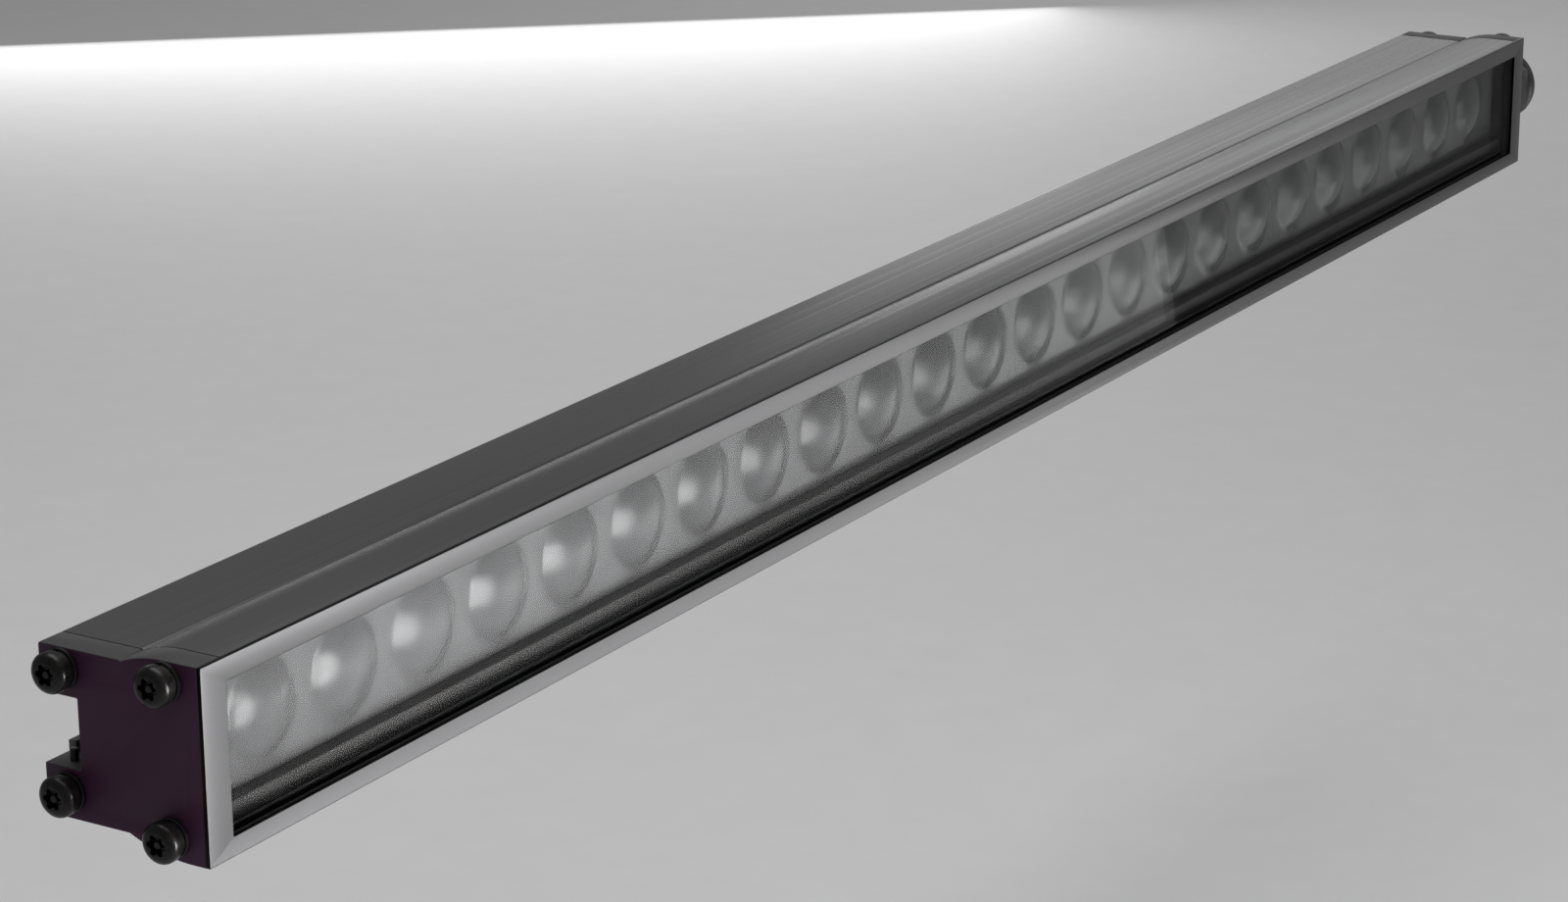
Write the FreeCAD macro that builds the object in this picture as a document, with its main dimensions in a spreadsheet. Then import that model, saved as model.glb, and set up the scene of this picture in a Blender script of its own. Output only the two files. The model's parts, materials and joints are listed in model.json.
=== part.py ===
import FreeCAD, Part
import Sketcher
import math
import os

# A linear outdoor wall washer: an extruded housing with a glazed window over a row of round lenses,
# two end caps, a cable gland, and two tilting wall feet that slide in the channel at the rear.
#
# Sizes are worked out in the light's own corner frame: x from the left end to the right end, y from
# the front face to the rear, z from the underside up. Every sub-part is then placed so that the
# origin lies on the wall, midway between the feet and level with the channel.

doc = FreeCAD.newDocument("wall_washer")
sheet = doc.addObject("Spreadsheet::Sheet", "Sheet")
sheet_row = 0


class Size:
    """A length that carries both its number and the sheet formula that gives it."""

    def __init__(self, value, formula):
        self.value = float(value)
        self.formula = formula

    def __add__(self, other):
        other = as_size(other)
        return Size(self.value + other.value, "(%s + %s)" % (self.formula, other.formula))

    def __sub__(self, other):
        other = as_size(other)
        return Size(self.value - other.value, "(%s - %s)" % (self.formula, other.formula))

    def __mul__(self, other):
        other = as_size(other)
        return Size(self.value * other.value, "(%s * %s)" % (self.formula, other.formula))

    def __truediv__(self, other):
        other = as_size(other)
        return Size(self.value / other.value, "(%s / %s)" % (self.formula, other.formula))

    def __neg__(self):
        return Size(-self.value, "(0 - %s)" % self.formula)

    def __radd__(self, other):
        return as_size(other) + self

    def __rsub__(self, other):
        return as_size(other) - self

    def __rmul__(self, other):
        return as_size(other) * self


def as_size(number):
    """Lets a plain number stand beside a Size in a sum."""
    if isinstance(number, Size):
        return number
    return Size(number, "%.9g" % number)


def cell(alias, number):
    """Writes one driving dimension into the sheet, in millimetres, and returns it as a Size."""
    global sheet_row
    sheet_row += 1
    sheet.set("A%d" % sheet_row, alias)
    sheet.set("B%d" % sheet_row, "%g" % number)
    sheet.setAlias("B%d" % sheet_row, alias)
    return Size(number, "Sheet.%s" % alias)


ZERO = as_size(0)

# ---- driving dimensions -------------------------------------------------------------------------

# housing section
length = cell("length", 1000)
height = cell("body_height", 60.8)
depth = cell("body_depth", 59.5)
wall = cell("wall_thickness", 2.4)
rear_drop = cell("rear_drop", 2.8)
rear_lift = cell("rear_lift", 5.1)
shoulder = cell("shoulder_depth", 29.2)
valley_dip = cell("valley_dip", 0.4)
valley_run = cell("valley_run", 0.6)
crown_flat = cell("crown_flat", 14)
keel_flat = cell("keel_flat", 6)
web_front = cell("web_front", 20)
web_thick = cell("web_thickness", 3)

# rear channel
channel_middle = cell("channel_middle", 32)
channel_height = cell("channel_height", 22)
channel_depth = cell("channel_depth", 13.5)
lip_height = cell("lip_height", 3.4)
lip_thick = cell("lip_thickness", 2.8)

# window, frame and glass
frame_thick = cell("frame_thickness", 1.3)
bar_top = cell("frame_top_bar", 7.4)
bar_bottom = cell("frame_bottom_bar", 6.2)
bar_side = cell("frame_side_bar", 11.2)
frame_round = cell("frame_edge_round", 0.6)
glass_set = cell("glass_setback", 2.5)
glass_thick = cell("glass_thickness", 4)
glass_lap = cell("glass_overlap", 3.1)
glass_gap = cell("glass_edge_gap", 0.4)
seal_thick = cell("glass_seal_thickness", 0.8)
ledge_thick = cell("ledge_thickness", 1.7)

# optics and light engine
strip_count = 4
lenses_per_strip = 6
lens_pitch = cell("lens_pitch", 40)
lens_land = cell("lens_land", 2.5)
lens_crop = cell("lens_crop", 1.25)
lens_dome = cell("lens_dome_height", 4.9)
lens_front = cell("lens_front", 7.6)
lens_plate = cell("lens_plate_thickness", 2)
lens_margin = cell("lens_plate_margin", 3.95)
lens_stem_step = cell("lens_stem_step", 8.5)
lens_tip_radius = cell("lens_tip_radius", 5)
lens_air = cell("lens_air_gap", 0.3)
strip_gap = cell("strip_gap", 0.6)
post_radius = cell("post_radius", 2)
board_thick = cell("board_thickness", 1.6)
board_height = cell("board_height", 23)
pad_thick = cell("thermal_pad_thickness", 0.5)
led_size = cell("led_size", 3.5)
led_thick = cell("led_thickness", 1.4)
trim_gap = cell("trim_gap", 0.2)
trim_shelf = cell("trim_shelf_thickness", 0.8)
trim_round = cell("trim_edge_round", 0.7)
notch_length = cell("board_notch_length", 9)
notch_height = cell("board_notch_height", 8)
bridge_lap = cell("bridge_lap", 6)
bridge_rest = cell("bridge_rest", 1.5)
bridge_thick = cell("bridge_thickness", 3)
board_screw_radius = cell("board_screw_radius", 1.5)
board_screw_head = cell("board_screw_head_thickness", 1.8)
board_screw_head_radius = cell("board_screw_head_radius", 2.75)
board_screw_steps = (1, 5)
post_steps = (2, 4)

# end caps and their screws
cap_thick = cell("cap_thickness", 10)
end_seal_thick = cell("end_seal_thickness", 0.5)
end_seal_inset = cell("end_seal_inset", 0.3)
screw_radius = cell("cap_screw_radius", 3)
screw_play = cell("cap_screw_play", 0.05)
screw_clear = cell("cap_screw_clearance", 0.3)
screw_reach = cell("cap_screw_reach", 26)
head_radius = cell("cap_screw_head_radius", 6.3)
head_side = cell("cap_screw_head_side", 2.6)
head_crown = cell("cap_screw_head_crown", 2.1)
flat_washer = cell("flat_washer_thickness", 1.4)
spring_washer = cell("spring_washer_thickness", 1.6)
recess_radius = cell("recess_radius", 2.8)
recess_depth = cell("recess_depth", 2.4)
recess_lobe = cell("recess_lobe_radius", 0.72)
recess_pin = cell("recess_pin_radius", 1.2)
front_screw_set = cell("front_screw_set", 13)
rear_screw_set = cell("rear_screw_set", 50.8)
upper_front_drop = cell("upper_front_screw_drop", 6.3)
lower_front_lift = cell("lower_front_screw_lift", 7.3)
upper_rear_drop = cell("upper_rear_screw_drop", 6.4)
lower_rear_lift = cell("lower_rear_screw_lift", 8.5)
port_wall = cell("screw_port_wall", 1.4)
flat_radius = cell("flat_washer_radius", 6.2)
spring_radius = cell("spring_washer_radius", 5.6)
spring_split = cell("spring_washer_split", 1)

# channel stop pins
pin_radius = cell("stop_pin_radius", 1.3)
pin_rise = cell("stop_pin_rise", 3.7)
pin_root = cell("stop_pin_root", 3.6)
pin_set = cell("stop_pin_set", 5.4)
pin_inset = cell("stop_pin_inset", 6.5)

# cable gland on the right cap
gland_set = cell("gland_set", 23.1)
gland_level = cell("gland_level", 30)
gland_thread = cell("gland_thread_radius", 12.4)
gland_play = cell("gland_thread_play", 0.1)
gland_flats = cell("gland_across_flats", 33)
gland_washer_thick = cell("gland_washer_thickness", 1)
gland_flange = cell("gland_flange_length", 7)
gland_barrel = cell("gland_barrel_length", 16)
gland_bore = cell("gland_bore_radius", 9)
gland_cable = cell("gland_cable_radius", 6.5)
nut_grip = cell("gland_nut_grip", 17.6)
nut_collar_radius = cell("gland_collar_radius", 17.6)
nut_collar = cell("gland_collar_length", 10)
nut_gap = cell("gland_nut_gap", 0.4)
nut_mouth = cell("gland_nut_mouth_radius", 8)
nut_dome = cell("gland_nut_dome", 3)
web_notch = cell("web_notch_length", 7)

# driver and wiring in the rear chamber
driver_standoff = cell("driver_standoff", 54.1)
driver_length = cell("driver_length", 240)
driver_height = cell("driver_height", 38)
driver_deep = cell("driver_depth", 17)
driver_wall = cell("driver_wall", 1.2)
driver_boss = cell("driver_boss", 7)
driver_screw_radius = cell("driver_screw_radius", 1.5)
driver_screw_head = cell("driver_screw_head_thickness", 1.8)
driver_screw_head_radius = cell("driver_screw_head_radius", 2.75)
driver_screw_reach = cell("driver_screw_reach", 6)
# along the driver board: where each component starts, how long and how tall it is, as shares
driver_part_shares = ((0.06, 0.10, 0.75), (0.22, 0.16, 0.90), (0.46, 0.08, 0.60), (0.60, 0.26, 0.80))
terminal_inset = cell("terminal_inset", 120)
terminal_length = cell("terminal_length", 30)
terminal_deep = cell("terminal_depth", 12)
terminal_height = cell("terminal_height", 16)
lead_radius = cell("lead_radius", 1.1)
lead_pitch = cell("lead_pitch", 5)
grommet_radius = cell("grommet_radius", 6)
grommet_flange = cell("grommet_flange_radius", 7.5)
grommet_lip = cell("grommet_lip_thickness", 1.2)
lead_play = cell("lead_play", 0.05)
lead_bend = cell("lead_bend_radius", 8)
lead_set = cell("lead_set", 32.5)
fit_gap = cell("fit_gap", 0.3)

# wall feet
foot_spread = cell("foot_spread", 500)
shoe_length = cell("shoe_length", 40)
shoe_play = cell("shoe_play", 0.3)
shoe_thick = cell("shoe_thickness", 9.8)
neck_play = cell("neck_play", 0.8)
lug_thick = cell("lug_thickness", 8)
lug_radius = cell("lug_radius", 9)
ear_radius = cell("ear_radius", 8)
ear_thick = cell("ear_thickness", 4)
ear_play = cell("ear_play", 0.2)
pivot_gap = cell("pivot_gap", 12.5)
foot_reach = cell("foot_reach", 12)
foot_thick = cell("foot_thickness", 4)
foot_length = cell("foot_length", 60)
foot_height = cell("foot_height", 18)
foot_holes = cell("foot_hole_spacing", 44)
foot_hole_radius = cell("foot_hole_radius", 3.25)
bolt_radius = cell("pivot_bolt_radius", 3)
bolt_play = cell("pivot_bolt_play", 0.05)
bolt_head_radius = cell("pivot_head_radius", 5)
bolt_head = cell("pivot_head_thickness", 4)
nut_flats = cell("pivot_nut_flats", 10)
nut_thick = cell("pivot_nut_thickness", 6)
bolt_point = cell("pivot_bolt_point", 1)
grub_radius = cell("grub_radius", 2.5)
grub_offset = cell("grub_offset", 13)
grub_gap = cell("grub_floor_gap", 0.2)

doc.recompute()

# ---- places that follow from them ----------------------------------------------------------------

rear_top = height - rear_drop
channel_low = channel_middle - channel_height / 2
channel_high = channel_middle + channel_height / 2
channel_floor = depth - channel_depth
lip_front = depth - lip_thick
window_low = bar_bottom
window_high = height - bar_top
rabbet_low = window_low - glass_lap
rabbet_high = window_high + glass_lap
glass_back = glass_set + glass_thick
ledge_front = glass_back + seal_thick
ledge_back = ledge_front + ledge_thick
plate_front = lens_front + lens_dome
plate_back = plate_front + lens_plate
chamber_low = lower_front_lift + screw_radius + screw_play + port_wall
chamber_high = height - upper_front_drop - screw_radius - screw_play - port_wall
lens_high = chamber_high - trim_gap
lens_radius = lens_pitch / 2 - lens_land
lens_stem_radius = lens_radius - lens_stem_step
lens_level = lens_high + lens_crop - lens_radius
lens_low = lens_level - lens_radius - lens_margin
web_back = web_front + web_thick
board_back = web_front - pad_thick
board_front = board_back - board_thick
led_front = board_front - led_thick
rear_low = rear_lift + wall
rear_high = rear_top - wall
gland_face = length + gland_washer_thick
pivot_set = depth + pivot_gap
wall_plane = pivot_set + foot_reach + foot_thick
optic_start = (length - strip_count * lenses_per_strip * lens_pitch) / 2
strip_length = lenses_per_strip * lens_pitch
port_hole = screw_radius + screw_play
housing_start = cap_thick + end_seal_thick
housing_length = length - 2 * housing_start
board_low = lens_level - board_height / 2
board_high = lens_level + board_height / 2
rear_wall = channel_floor - web_thick
shoe_back = lip_front - shoe_play
shoe_front = shoe_back - shoe_thick

grommet_x = optic_start + strip_length * 2 + strip_gap / 2 + notch_length / 2 + lead_radius
grommet_z = board_high - notch_height / 2
driver_start = grommet_x + driver_standoff
terminal_start = length - terminal_inset
board_screw_places = [
    optic_start + strip_length * strip + lens_pitch * step
    for strip in range(strip_count) for step in board_screw_steps
]

screw_places = [
    (front_screw_set, height - upper_front_drop),
    (front_screw_set, lower_front_lift),
    (rear_screw_set, rear_top - upper_rear_drop),
    (rear_screw_set, rear_lift + lower_rear_lift),
]

SIDES = ("left", "right")
nodes = []


# ---- drawing helpers -----------------------------------------------------------------------------

def new_body(name):
    """A sub-part's body, drawn in the corner frame."""
    return doc.addObject("PartDesign::Body", name)


def sketch_on(body, role, name, base=(ZERO, ZERO, ZERO)):
    """A sketch on one of the body's own origin planes, moved by base along the plane's axes."""
    sketch = body.newObject("Sketcher::SketchObject", name)
    plane = [item for item in body.Origin.OriginFeatures if item.Role == role][0]
    sketch.AttachmentSupport = (plane, [""])
    sketch.MapMode = "FlatFace"
    for axis, size in zip("xyz", base):
        if size.value != 0:
            sketch.setExpression("AttachmentOffset.Base.%s" % axis, size.formula)
    return sketch


def pin_point(sketch, geometry, position, x, y):
    """Holds a point of the sketch at (x, y) by dimensions bound to the sheet."""
    for kind, size, axis in (("DistanceX", x, -2), ("DistanceY", y, -1)):
        if abs(size.value) < 1e-9:
            sketch.addConstraint(Sketcher.Constraint("PointOnObject", geometry, position, axis))
        elif size.value > 0:
            index = sketch.addConstraint(Sketcher.Constraint(kind, -1, 1, geometry, position, size.value))
            sketch.setExpression("Constraints[%d]" % index, size.formula)
        else:
            back = -size
            index = sketch.addConstraint(Sketcher.Constraint(kind, geometry, position, -1, 1, back.value))
            sketch.setExpression("Constraints[%d]" % index, back.formula)


def draw_loop(sketch, points, arcs=None):
    """A closed outline through the points, with edge i running from point i to the next one.

    arcs gives, for some edges, a radius: positive bulges to the right of the edge's direction.
    """
    arcs = arcs or {}
    count = len(points)
    ends = []
    for i in range(count):
        start = FreeCAD.Vector(points[i][0].value, points[i][1].value, 0)
        finish = FreeCAD.Vector(points[(i + 1) % count][0].value, points[(i + 1) % count][1].value, 0)
        if i not in arcs:
            index = sketch.addGeometry(Part.LineSegment(start, finish), False)
            ends.append((index, 1, 2))
            continue
        radius, side = arcs[i]
        chord = finish - start
        across = FreeCAD.Vector(-chord.y, chord.x, 0).normalize()
        rise = math.sqrt(radius.value ** 2 - (chord.Length / 2) ** 2)
        centre = (start + finish) / 2 + across * rise * side
        first = math.atan2(start.y - centre.y, start.x - centre.x)
        last = math.atan2(finish.y - centre.y, finish.x - centre.x)
        circle = Part.Circle(centre, FreeCAD.Vector(0, 0, 1), radius.value)
        if side > 0:
            index = sketch.addGeometry(Part.ArcOfCircle(circle, first, last), False)
            ends.append((index, 1, 2))
        else:
            index = sketch.addGeometry(Part.ArcOfCircle(circle, last, first), False)
            ends.append((index, 2, 1))
        bound = sketch.addConstraint(Sketcher.Constraint("Radius", index, radius.value))
        sketch.setExpression("Constraints[%d]" % bound, radius.formula)
    for i in range(count):
        index, begin, _ = ends[i]
        before, _, stop = ends[i - 1]
        sketch.addConstraint(Sketcher.Constraint("Coincident", before, stop, index, begin))
        pin_point(sketch, index, begin, points[i][0], points[i][1])


def draw_box(sketch, low_x, high_x, low_y, high_y):
    """A rectangle between two pairs of sizes."""
    draw_loop(sketch, [(low_x, low_y), (high_x, low_y), (high_x, high_y), (low_x, high_y)])


def draw_circle(sketch, x, y, radius):
    """A circle with its centre and radius bound to the sheet."""
    centre = FreeCAD.Vector(x.value, y.value, 0)
    index = sketch.addGeometry(Part.Circle(centre, FreeCAD.Vector(0, 0, 1), radius.value), False)
    pin_point(sketch, index, 3, x, y)
    bound = sketch.addConstraint(Sketcher.Constraint("Radius", index, radius.value))
    sketch.setExpression("Constraints[%d]" % bound, radius.formula)


def draw_hexagon(sketch, x, y, flats):
    """A hexagon with two flats square to the sketch's own x axis."""
    half = flats / 2
    corner = flats / math.sqrt(3)
    draw_loop(sketch, [
        (x, y - corner), (x + half, y - corner / 2), (x + half, y + corner / 2),
        (x, y + corner), (x - half, y + corner / 2), (x - half, y - corner / 2),
    ])


def pad(body, sketch, size, reverse=False):
    """Raises a sketch by a bound length."""
    feature = body.newObject("PartDesign::Pad", sketch.Name + "_pad")
    feature.Profile = sketch
    feature.Reversed = reverse
    feature.setExpression("Length", size.formula)
    return feature


def pocket(body, sketch, size, reverse=False):
    """Cuts a sketch into the body by a bound length and checks that something came away."""
    doc.recompute()
    before = body.Shape.Volume
    feature = body.newObject("PartDesign::Pocket", sketch.Name + "_pocket")
    feature.Profile = sketch
    feature.Reversed = reverse
    feature.setExpression("Length", size.formula)
    doc.recompute()
    if not body.Shape.Volume < before:
        raise ValueError("%s cuts nothing" % feature.Name)
    return feature


def revolve(body, sketch, axis):
    """Turns a half section about one of its sketch's axes."""
    feature = body.newObject("PartDesign::Revolution", sketch.Name + "_turned")
    feature.Profile = sketch
    feature.ReferenceAxis = (sketch, [axis])
    feature.Angle = 360
    return feature


def repeat_along_x(body, features, pitch, count):
    """Repeats features of a body along x at a bound pitch."""
    pattern = body.newObject("PartDesign::LinearPattern", features[0].Name + "_row")
    axis = [item for item in body.Origin.OriginFeatures if item.Role == "X_Axis"][0]
    pattern.Originals = features
    pattern.Direction = (axis, [""])
    pattern.Occurrences = count
    pattern.setExpression("Length", (pitch * (count - 1)).formula)
    body.Tip = pattern
    return pattern


def slab_yz(body, name, start, thickness, draw):
    """A plate across the light: draw(sketch) gives its outline in y and z, start its lowest x."""
    sketch = sketch_on(body, "YZ_Plane", name, (ZERO, ZERO, start))
    draw(sketch)
    return pad(body, sketch, thickness)


def slab_xz(body, name, start, thickness, draw):
    """A plate along the light: draw(sketch) gives its outline in x and z, start its lowest y."""
    sketch = sketch_on(body, "XZ_Plane", name, (ZERO, ZERO, -start))
    draw(sketch)
    return pad(body, sketch, thickness, True)


def cut_yz(body, name, start, thickness, draw):
    """Cuts an outline in y and z through the x range that begins at start."""
    sketch = sketch_on(body, "YZ_Plane", name, (ZERO, ZERO, start))
    draw(sketch)
    return pocket(body, sketch, thickness, True)


def cut_xz(body, name, start, thickness, draw):
    """Cuts an outline in x and z through the y range that begins at start."""
    sketch = sketch_on(body, "XZ_Plane", name, (ZERO, ZERO, -start))
    draw(sketch)
    return pocket(body, sketch, thickness)


def keep(item, label):
    """Names a finished sub-part and moves it from the corner frame to the part's own frame."""
    item.Label = label
    item.setExpression("Placement.Base.x", (-(length / 2)).formula)
    item.setExpression("Placement.Base.y", (-wall_plane).formula)
    item.setExpression("Placement.Base.z", (-channel_middle).formula)
    nodes.append(item)
    return item


def keep_group(items, label):
    """Names a set of identical solids as one sub-part."""
    group = doc.addObject("Part::Compound", label + "_group")
    group.Links = items
    return keep(group, label)


def end_x(side, distance):
    """The x that lies a distance outside the left or the right end of the light."""
    if side == "left":
        return -distance
    return length + distance


def box(name, x, y, z, size_x, size_y, size_z):
    """A plain block with its low corner at (x, y, z)."""
    item = doc.addObject("Part::Box", name)
    for attribute, size in (("Length", size_x), ("Width", size_y), ("Height", size_z)):
        item.setExpression(attribute, size.formula)
    for axis, place in zip("xyz", (x, y, z)):
        item.setExpression("Placement.Base.%s" % axis, place.formula)
    return item


def turned(body, name, x, y, z, side, profile):
    """Turns a profile about the line along x through (y, z).

    profile lists (distance outwards from x, radius) pairs round the half section.
    """
    sketch = sketch_on(body, "XY_Plane", name, (x, y, z))
    points = []
    for distance, radius in profile:
        points.append((distance if side == "right" else -distance, radius))
    draw_loop(sketch, points)
    return revolve(body, sketch, "H_Axis")


def round_edges(body, base, radius, test):
    """Rounds the edges of a feature whose two ends both pass the test."""
    doc.recompute()
    names = []
    for number, edge in enumerate(base.Shape.Edges, start=1):
        if all(test(vertex.Point) for vertex in edge.Vertexes):
            names.append("Edge%d" % number)
    feature = body.newObject("PartDesign::Fillet", base.Name + "_round")
    feature.Base = (base, names)
    feature.setExpression("Radius", radius.formula)
    return feature


def near(value, size):
    """True where a coordinate lies at a size."""
    return abs(value - size.value) < 1e-4


# ---- cross-section -------------------------------------------------------------------------------

def section(sketch, front, inset, lips):
    """The light's outline behind y = front, drawn in by inset, with or without the channel lips."""
    keel_run = shoulder - keel_flat
    keel_radius = (keel_run * keel_run + rear_lift * rear_lift) / (2 * rear_lift)
    crown_run = shoulder - crown_flat
    crown_drop = rear_drop + valley_dip
    crown_radius = (crown_run * crown_run + crown_drop * crown_drop) / (2 * crown_drop)
    back = depth - inset
    points = [
        (front, inset), (keel_flat, inset), (shoulder, rear_lift + inset), (back, rear_lift + inset),
    ]
    if lips:
        points += [
            (back, channel_low + lip_height), (lip_front, channel_low + lip_height),
            (lip_front, channel_low), (channel_floor, channel_low),
            (channel_floor, channel_high), (lip_front, channel_high),
            (lip_front, channel_high - lip_height), (back, channel_high - lip_height),
        ]
    else:
        points += [
            (back, channel_low - inset), (channel_floor - inset, channel_low - inset),
            (channel_floor - inset, channel_high + inset), (back, channel_high + inset),
        ]
    points += [
        (back, rear_top - inset), (shoulder + valley_run, rear_top - inset),
        (shoulder, rear_top - valley_dip - inset), (crown_flat, height - inset), (front, height - inset),
    ]
    arcs = {1: (keel_radius, 1), len(points) - 3: (crown_radius, 1)}
    draw_loop(sketch, points, arcs)


def front_hollow(sketch):
    """The stepped hollow in front of the web: glass seat, ledge and light-engine chamber."""
    draw_loop(sketch, [
        (ZERO, rabbet_low), (ledge_front, rabbet_low), (ledge_front, window_low),
        (ledge_back, window_low), (ledge_back, chamber_low), (web_front, chamber_low),
        (web_front, chamber_high), (ledge_back, chamber_high), (ledge_back, window_high),
        (ledge_front, window_high), (ledge_front, rabbet_high), (ZERO, rabbet_high),
    ])


def screw_holes(sketch, radius):
    """The four cap screw holes."""
    for y, z in screw_places:
        draw_circle(sketch, y, z, radius)


# ---- shell ---------------------------------------------------------------------------------------

def make_housing():
    body = new_body("Housing")
    slab_yz(body, "housing_section", housing_start, housing_length,
            lambda sketch: section(sketch, frame_thick, ZERO, True))

    def hollows(sketch):
        front_hollow(sketch)
        draw_box(sketch, web_back, rear_wall, rear_low, rear_high)
        screw_holes(sketch, port_hole)

    cut_yz(body, "housing_hollows", housing_start, housing_length, hollows)
    notch_start = length - housing_start - web_notch
    cut_xz(body, "cable_notch", web_front, web_thick,
           lambda sketch: draw_box(sketch, notch_start, length - housing_start,
                                   gland_level - gland_bore, gland_level + gland_bore))
    cut_xz(body, "grommet_hole", web_front, web_thick,
           lambda sketch: draw_circle(sketch, grommet_x, grommet_z, grommet_radius))

    def tapped_holes(sketch):
        for x in board_screw_places:
            draw_circle(sketch, x, lens_level, board_screw_radius + screw_play)

    cut_xz(body, "board_screw_holes", web_front, web_thick, tapped_holes)
    keep(body, "housing")


def make_front_frame():
    body = new_body("FrontFrame")

    def outline(sketch):
        draw_box(sketch, ZERO, length, ZERO, height)
        draw_box(sketch, bar_side, length - bar_side, window_low, window_high)

    plate = slab_xz(body, "frame_outline", ZERO, frame_thick, outline)
    round_edges(body, plate, frame_round,
                lambda point: near(point.y, ZERO) and (near(point.x, ZERO) or near(point.x, length)))
    keep(body, "front_frame")


def pane(sketch, lap):
    """A rectangle that laps the window by a given amount all round."""
    draw_box(sketch, bar_side - lap, length - bar_side + lap, window_low - lap, window_high + lap)


def make_glass():
    glass = new_body("CoverGlass")
    slab_xz(glass, "glass_outline", glass_set, glass_thick,
            lambda sketch: pane(sketch, glass_lap - glass_gap))
    keep(glass, "cover_glass")

    def ring(sketch):
        pane(sketch, glass_lap - glass_gap)
        pane(sketch, ZERO)

    gasket = new_body("GlassGasket")
    slab_xz(gasket, "gasket_ring", frame_thick, glass_set - frame_thick, ring)
    keep(gasket, "glass_gasket")
    seal = new_body("GlassSealBack")
    slab_xz(seal, "back_seal_ring", glass_back, seal_thick, ring)
    keep(seal, "glass_seal_back")


def make_end_cap(side):
    body = new_body("EndCap_" + side)
    start = ZERO if side == "left" else length - cap_thick
    slab_yz(body, "cap_section_" + side, start, cap_thick,
            lambda sketch: section(sketch, frame_thick, ZERO, False))
    seat_depth = cap_thick - bar_side + glass_lap
    seat_start = cap_thick - seat_depth if side == "left" else length - cap_thick
    cut_yz(body, "cap_glass_seat_" + side, seat_start, seat_depth,
           lambda sketch: draw_box(sketch, ZERO, ledge_front, rabbet_low, rabbet_high))
    cut_yz(body, "cap_screw_holes_" + side, start, cap_thick,
           lambda sketch: screw_holes(sketch, screw_radius + screw_clear))
    pin_hole = sketch_on(body, "XY_Plane", "cap_pin_hole_" + side, (ZERO, ZERO, channel_low))
    draw_circle(pin_hole, end_x(side, -pin_set), depth - pin_inset, pin_radius)
    pocket(body, pin_hole, pin_root)
    if side == "right":
        cut_yz(body, "cap_gland_hole", start, cap_thick,
               lambda sketch: draw_circle(sketch, gland_set, gland_level, gland_thread + gland_play))
    keep(body, "end_cap_" + side)


def make_end_seal(side):
    body = new_body("EndSeal_" + side)
    start = cap_thick if side == "left" else length - housing_start
    slab_yz(body, "end_seal_section_" + side, start, end_seal_thick,
            lambda sketch: section(sketch, frame_thick + end_seal_inset, end_seal_inset, False))

    def hollows(sketch):
        front_hollow(sketch)
        draw_box(sketch, web_back, rear_wall - end_seal_inset, rear_low, rear_high)
        screw_holes(sketch, screw_radius + screw_clear)

    cut_yz(body, "end_seal_hollows_" + side, start, end_seal_thick, hollows)
    if side == "right":
        cut_yz(body, "end_seal_cable_way", start, end_seal_thick,
               lambda sketch: draw_box(sketch, web_front - end_seal_inset, web_back + end_seal_inset,
                                       gland_level - gland_bore, gland_level + gland_bore))
    keep(body, "end_seal_" + side)


def make_stop_pins():
    pins = []
    for side in SIDES:
        body = new_body("StopPin_" + side)
        sketch = sketch_on(body, "XY_Plane", "stop_pin_circle_" + side, (ZERO, ZERO, channel_low - pin_root))
        draw_circle(sketch, end_x(side, -pin_set), depth - pin_inset, pin_radius)
        pad(body, sketch, pin_root + pin_rise)
        pins.append(body)
    keep_group(pins, "stop_pins")


# ---- cap screws ----------------------------------------------------------------------------------

def make_cap_screw(name, side, y, z):
    """A domed screw with a six-lobed recess round a centre pin."""
    body = new_body(name)
    head_low = flat_washer + spring_washer
    head_high = head_low + head_side
    top = head_high + head_crown
    crown_rim = head_radius - head_crown
    sketch = sketch_on(body, "XY_Plane", name + "_profile", (end_x(side, ZERO), y, z))
    way = 1 if side == "right" else -1
    points = [
        (-screw_reach, ZERO), (top, ZERO), (top, crown_rim), (head_high, head_radius),
        (head_low, head_radius), (head_low, screw_radius), (-screw_reach, screw_radius),
    ]
    crown_chord = head_crown * math.sqrt(2)
    draw_loop(sketch, [(way * along, radius) for along, radius in points], {2: (crown_chord, -way)})
    revolve(body, sketch, "H_Axis")
    floor = end_x(side, top - recess_depth)
    start = floor if side == "right" else floor - recess_depth

    def ring(sketch):
        draw_circle(sketch, y, z, recess_radius)
        draw_circle(sketch, y, z, recess_pin)

    cut_yz(body, name + "_recess", start, recess_depth, ring)
    lobe = sketch_on(body, "YZ_Plane", name + "_lobe", (y, z, start))
    draw_circle(lobe, recess_radius, ZERO, recess_lobe)
    lobe_cut = pocket(body, lobe, recess_depth, True)
    lobes = body.newObject("PartDesign::PolarPattern", name + "_lobes")
    lobes.Originals = [lobe_cut]
    lobes.Axis = (lobe, ["N_Axis"])
    lobes.Angle = 360
    lobes.Occurrences = 6
    body.Tip = lobes
    return body


def make_washer(name, side, y, z, start, thickness, radius):
    """A ring on a cap screw, from start outwards."""
    body = new_body(name)
    turned(body, name + "_profile", end_x(side, start), y, z, side, [
        (ZERO, screw_radius + screw_play), (ZERO, radius), (thickness, radius),
        (thickness, screw_radius + screw_play),
    ])
    return body


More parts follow.
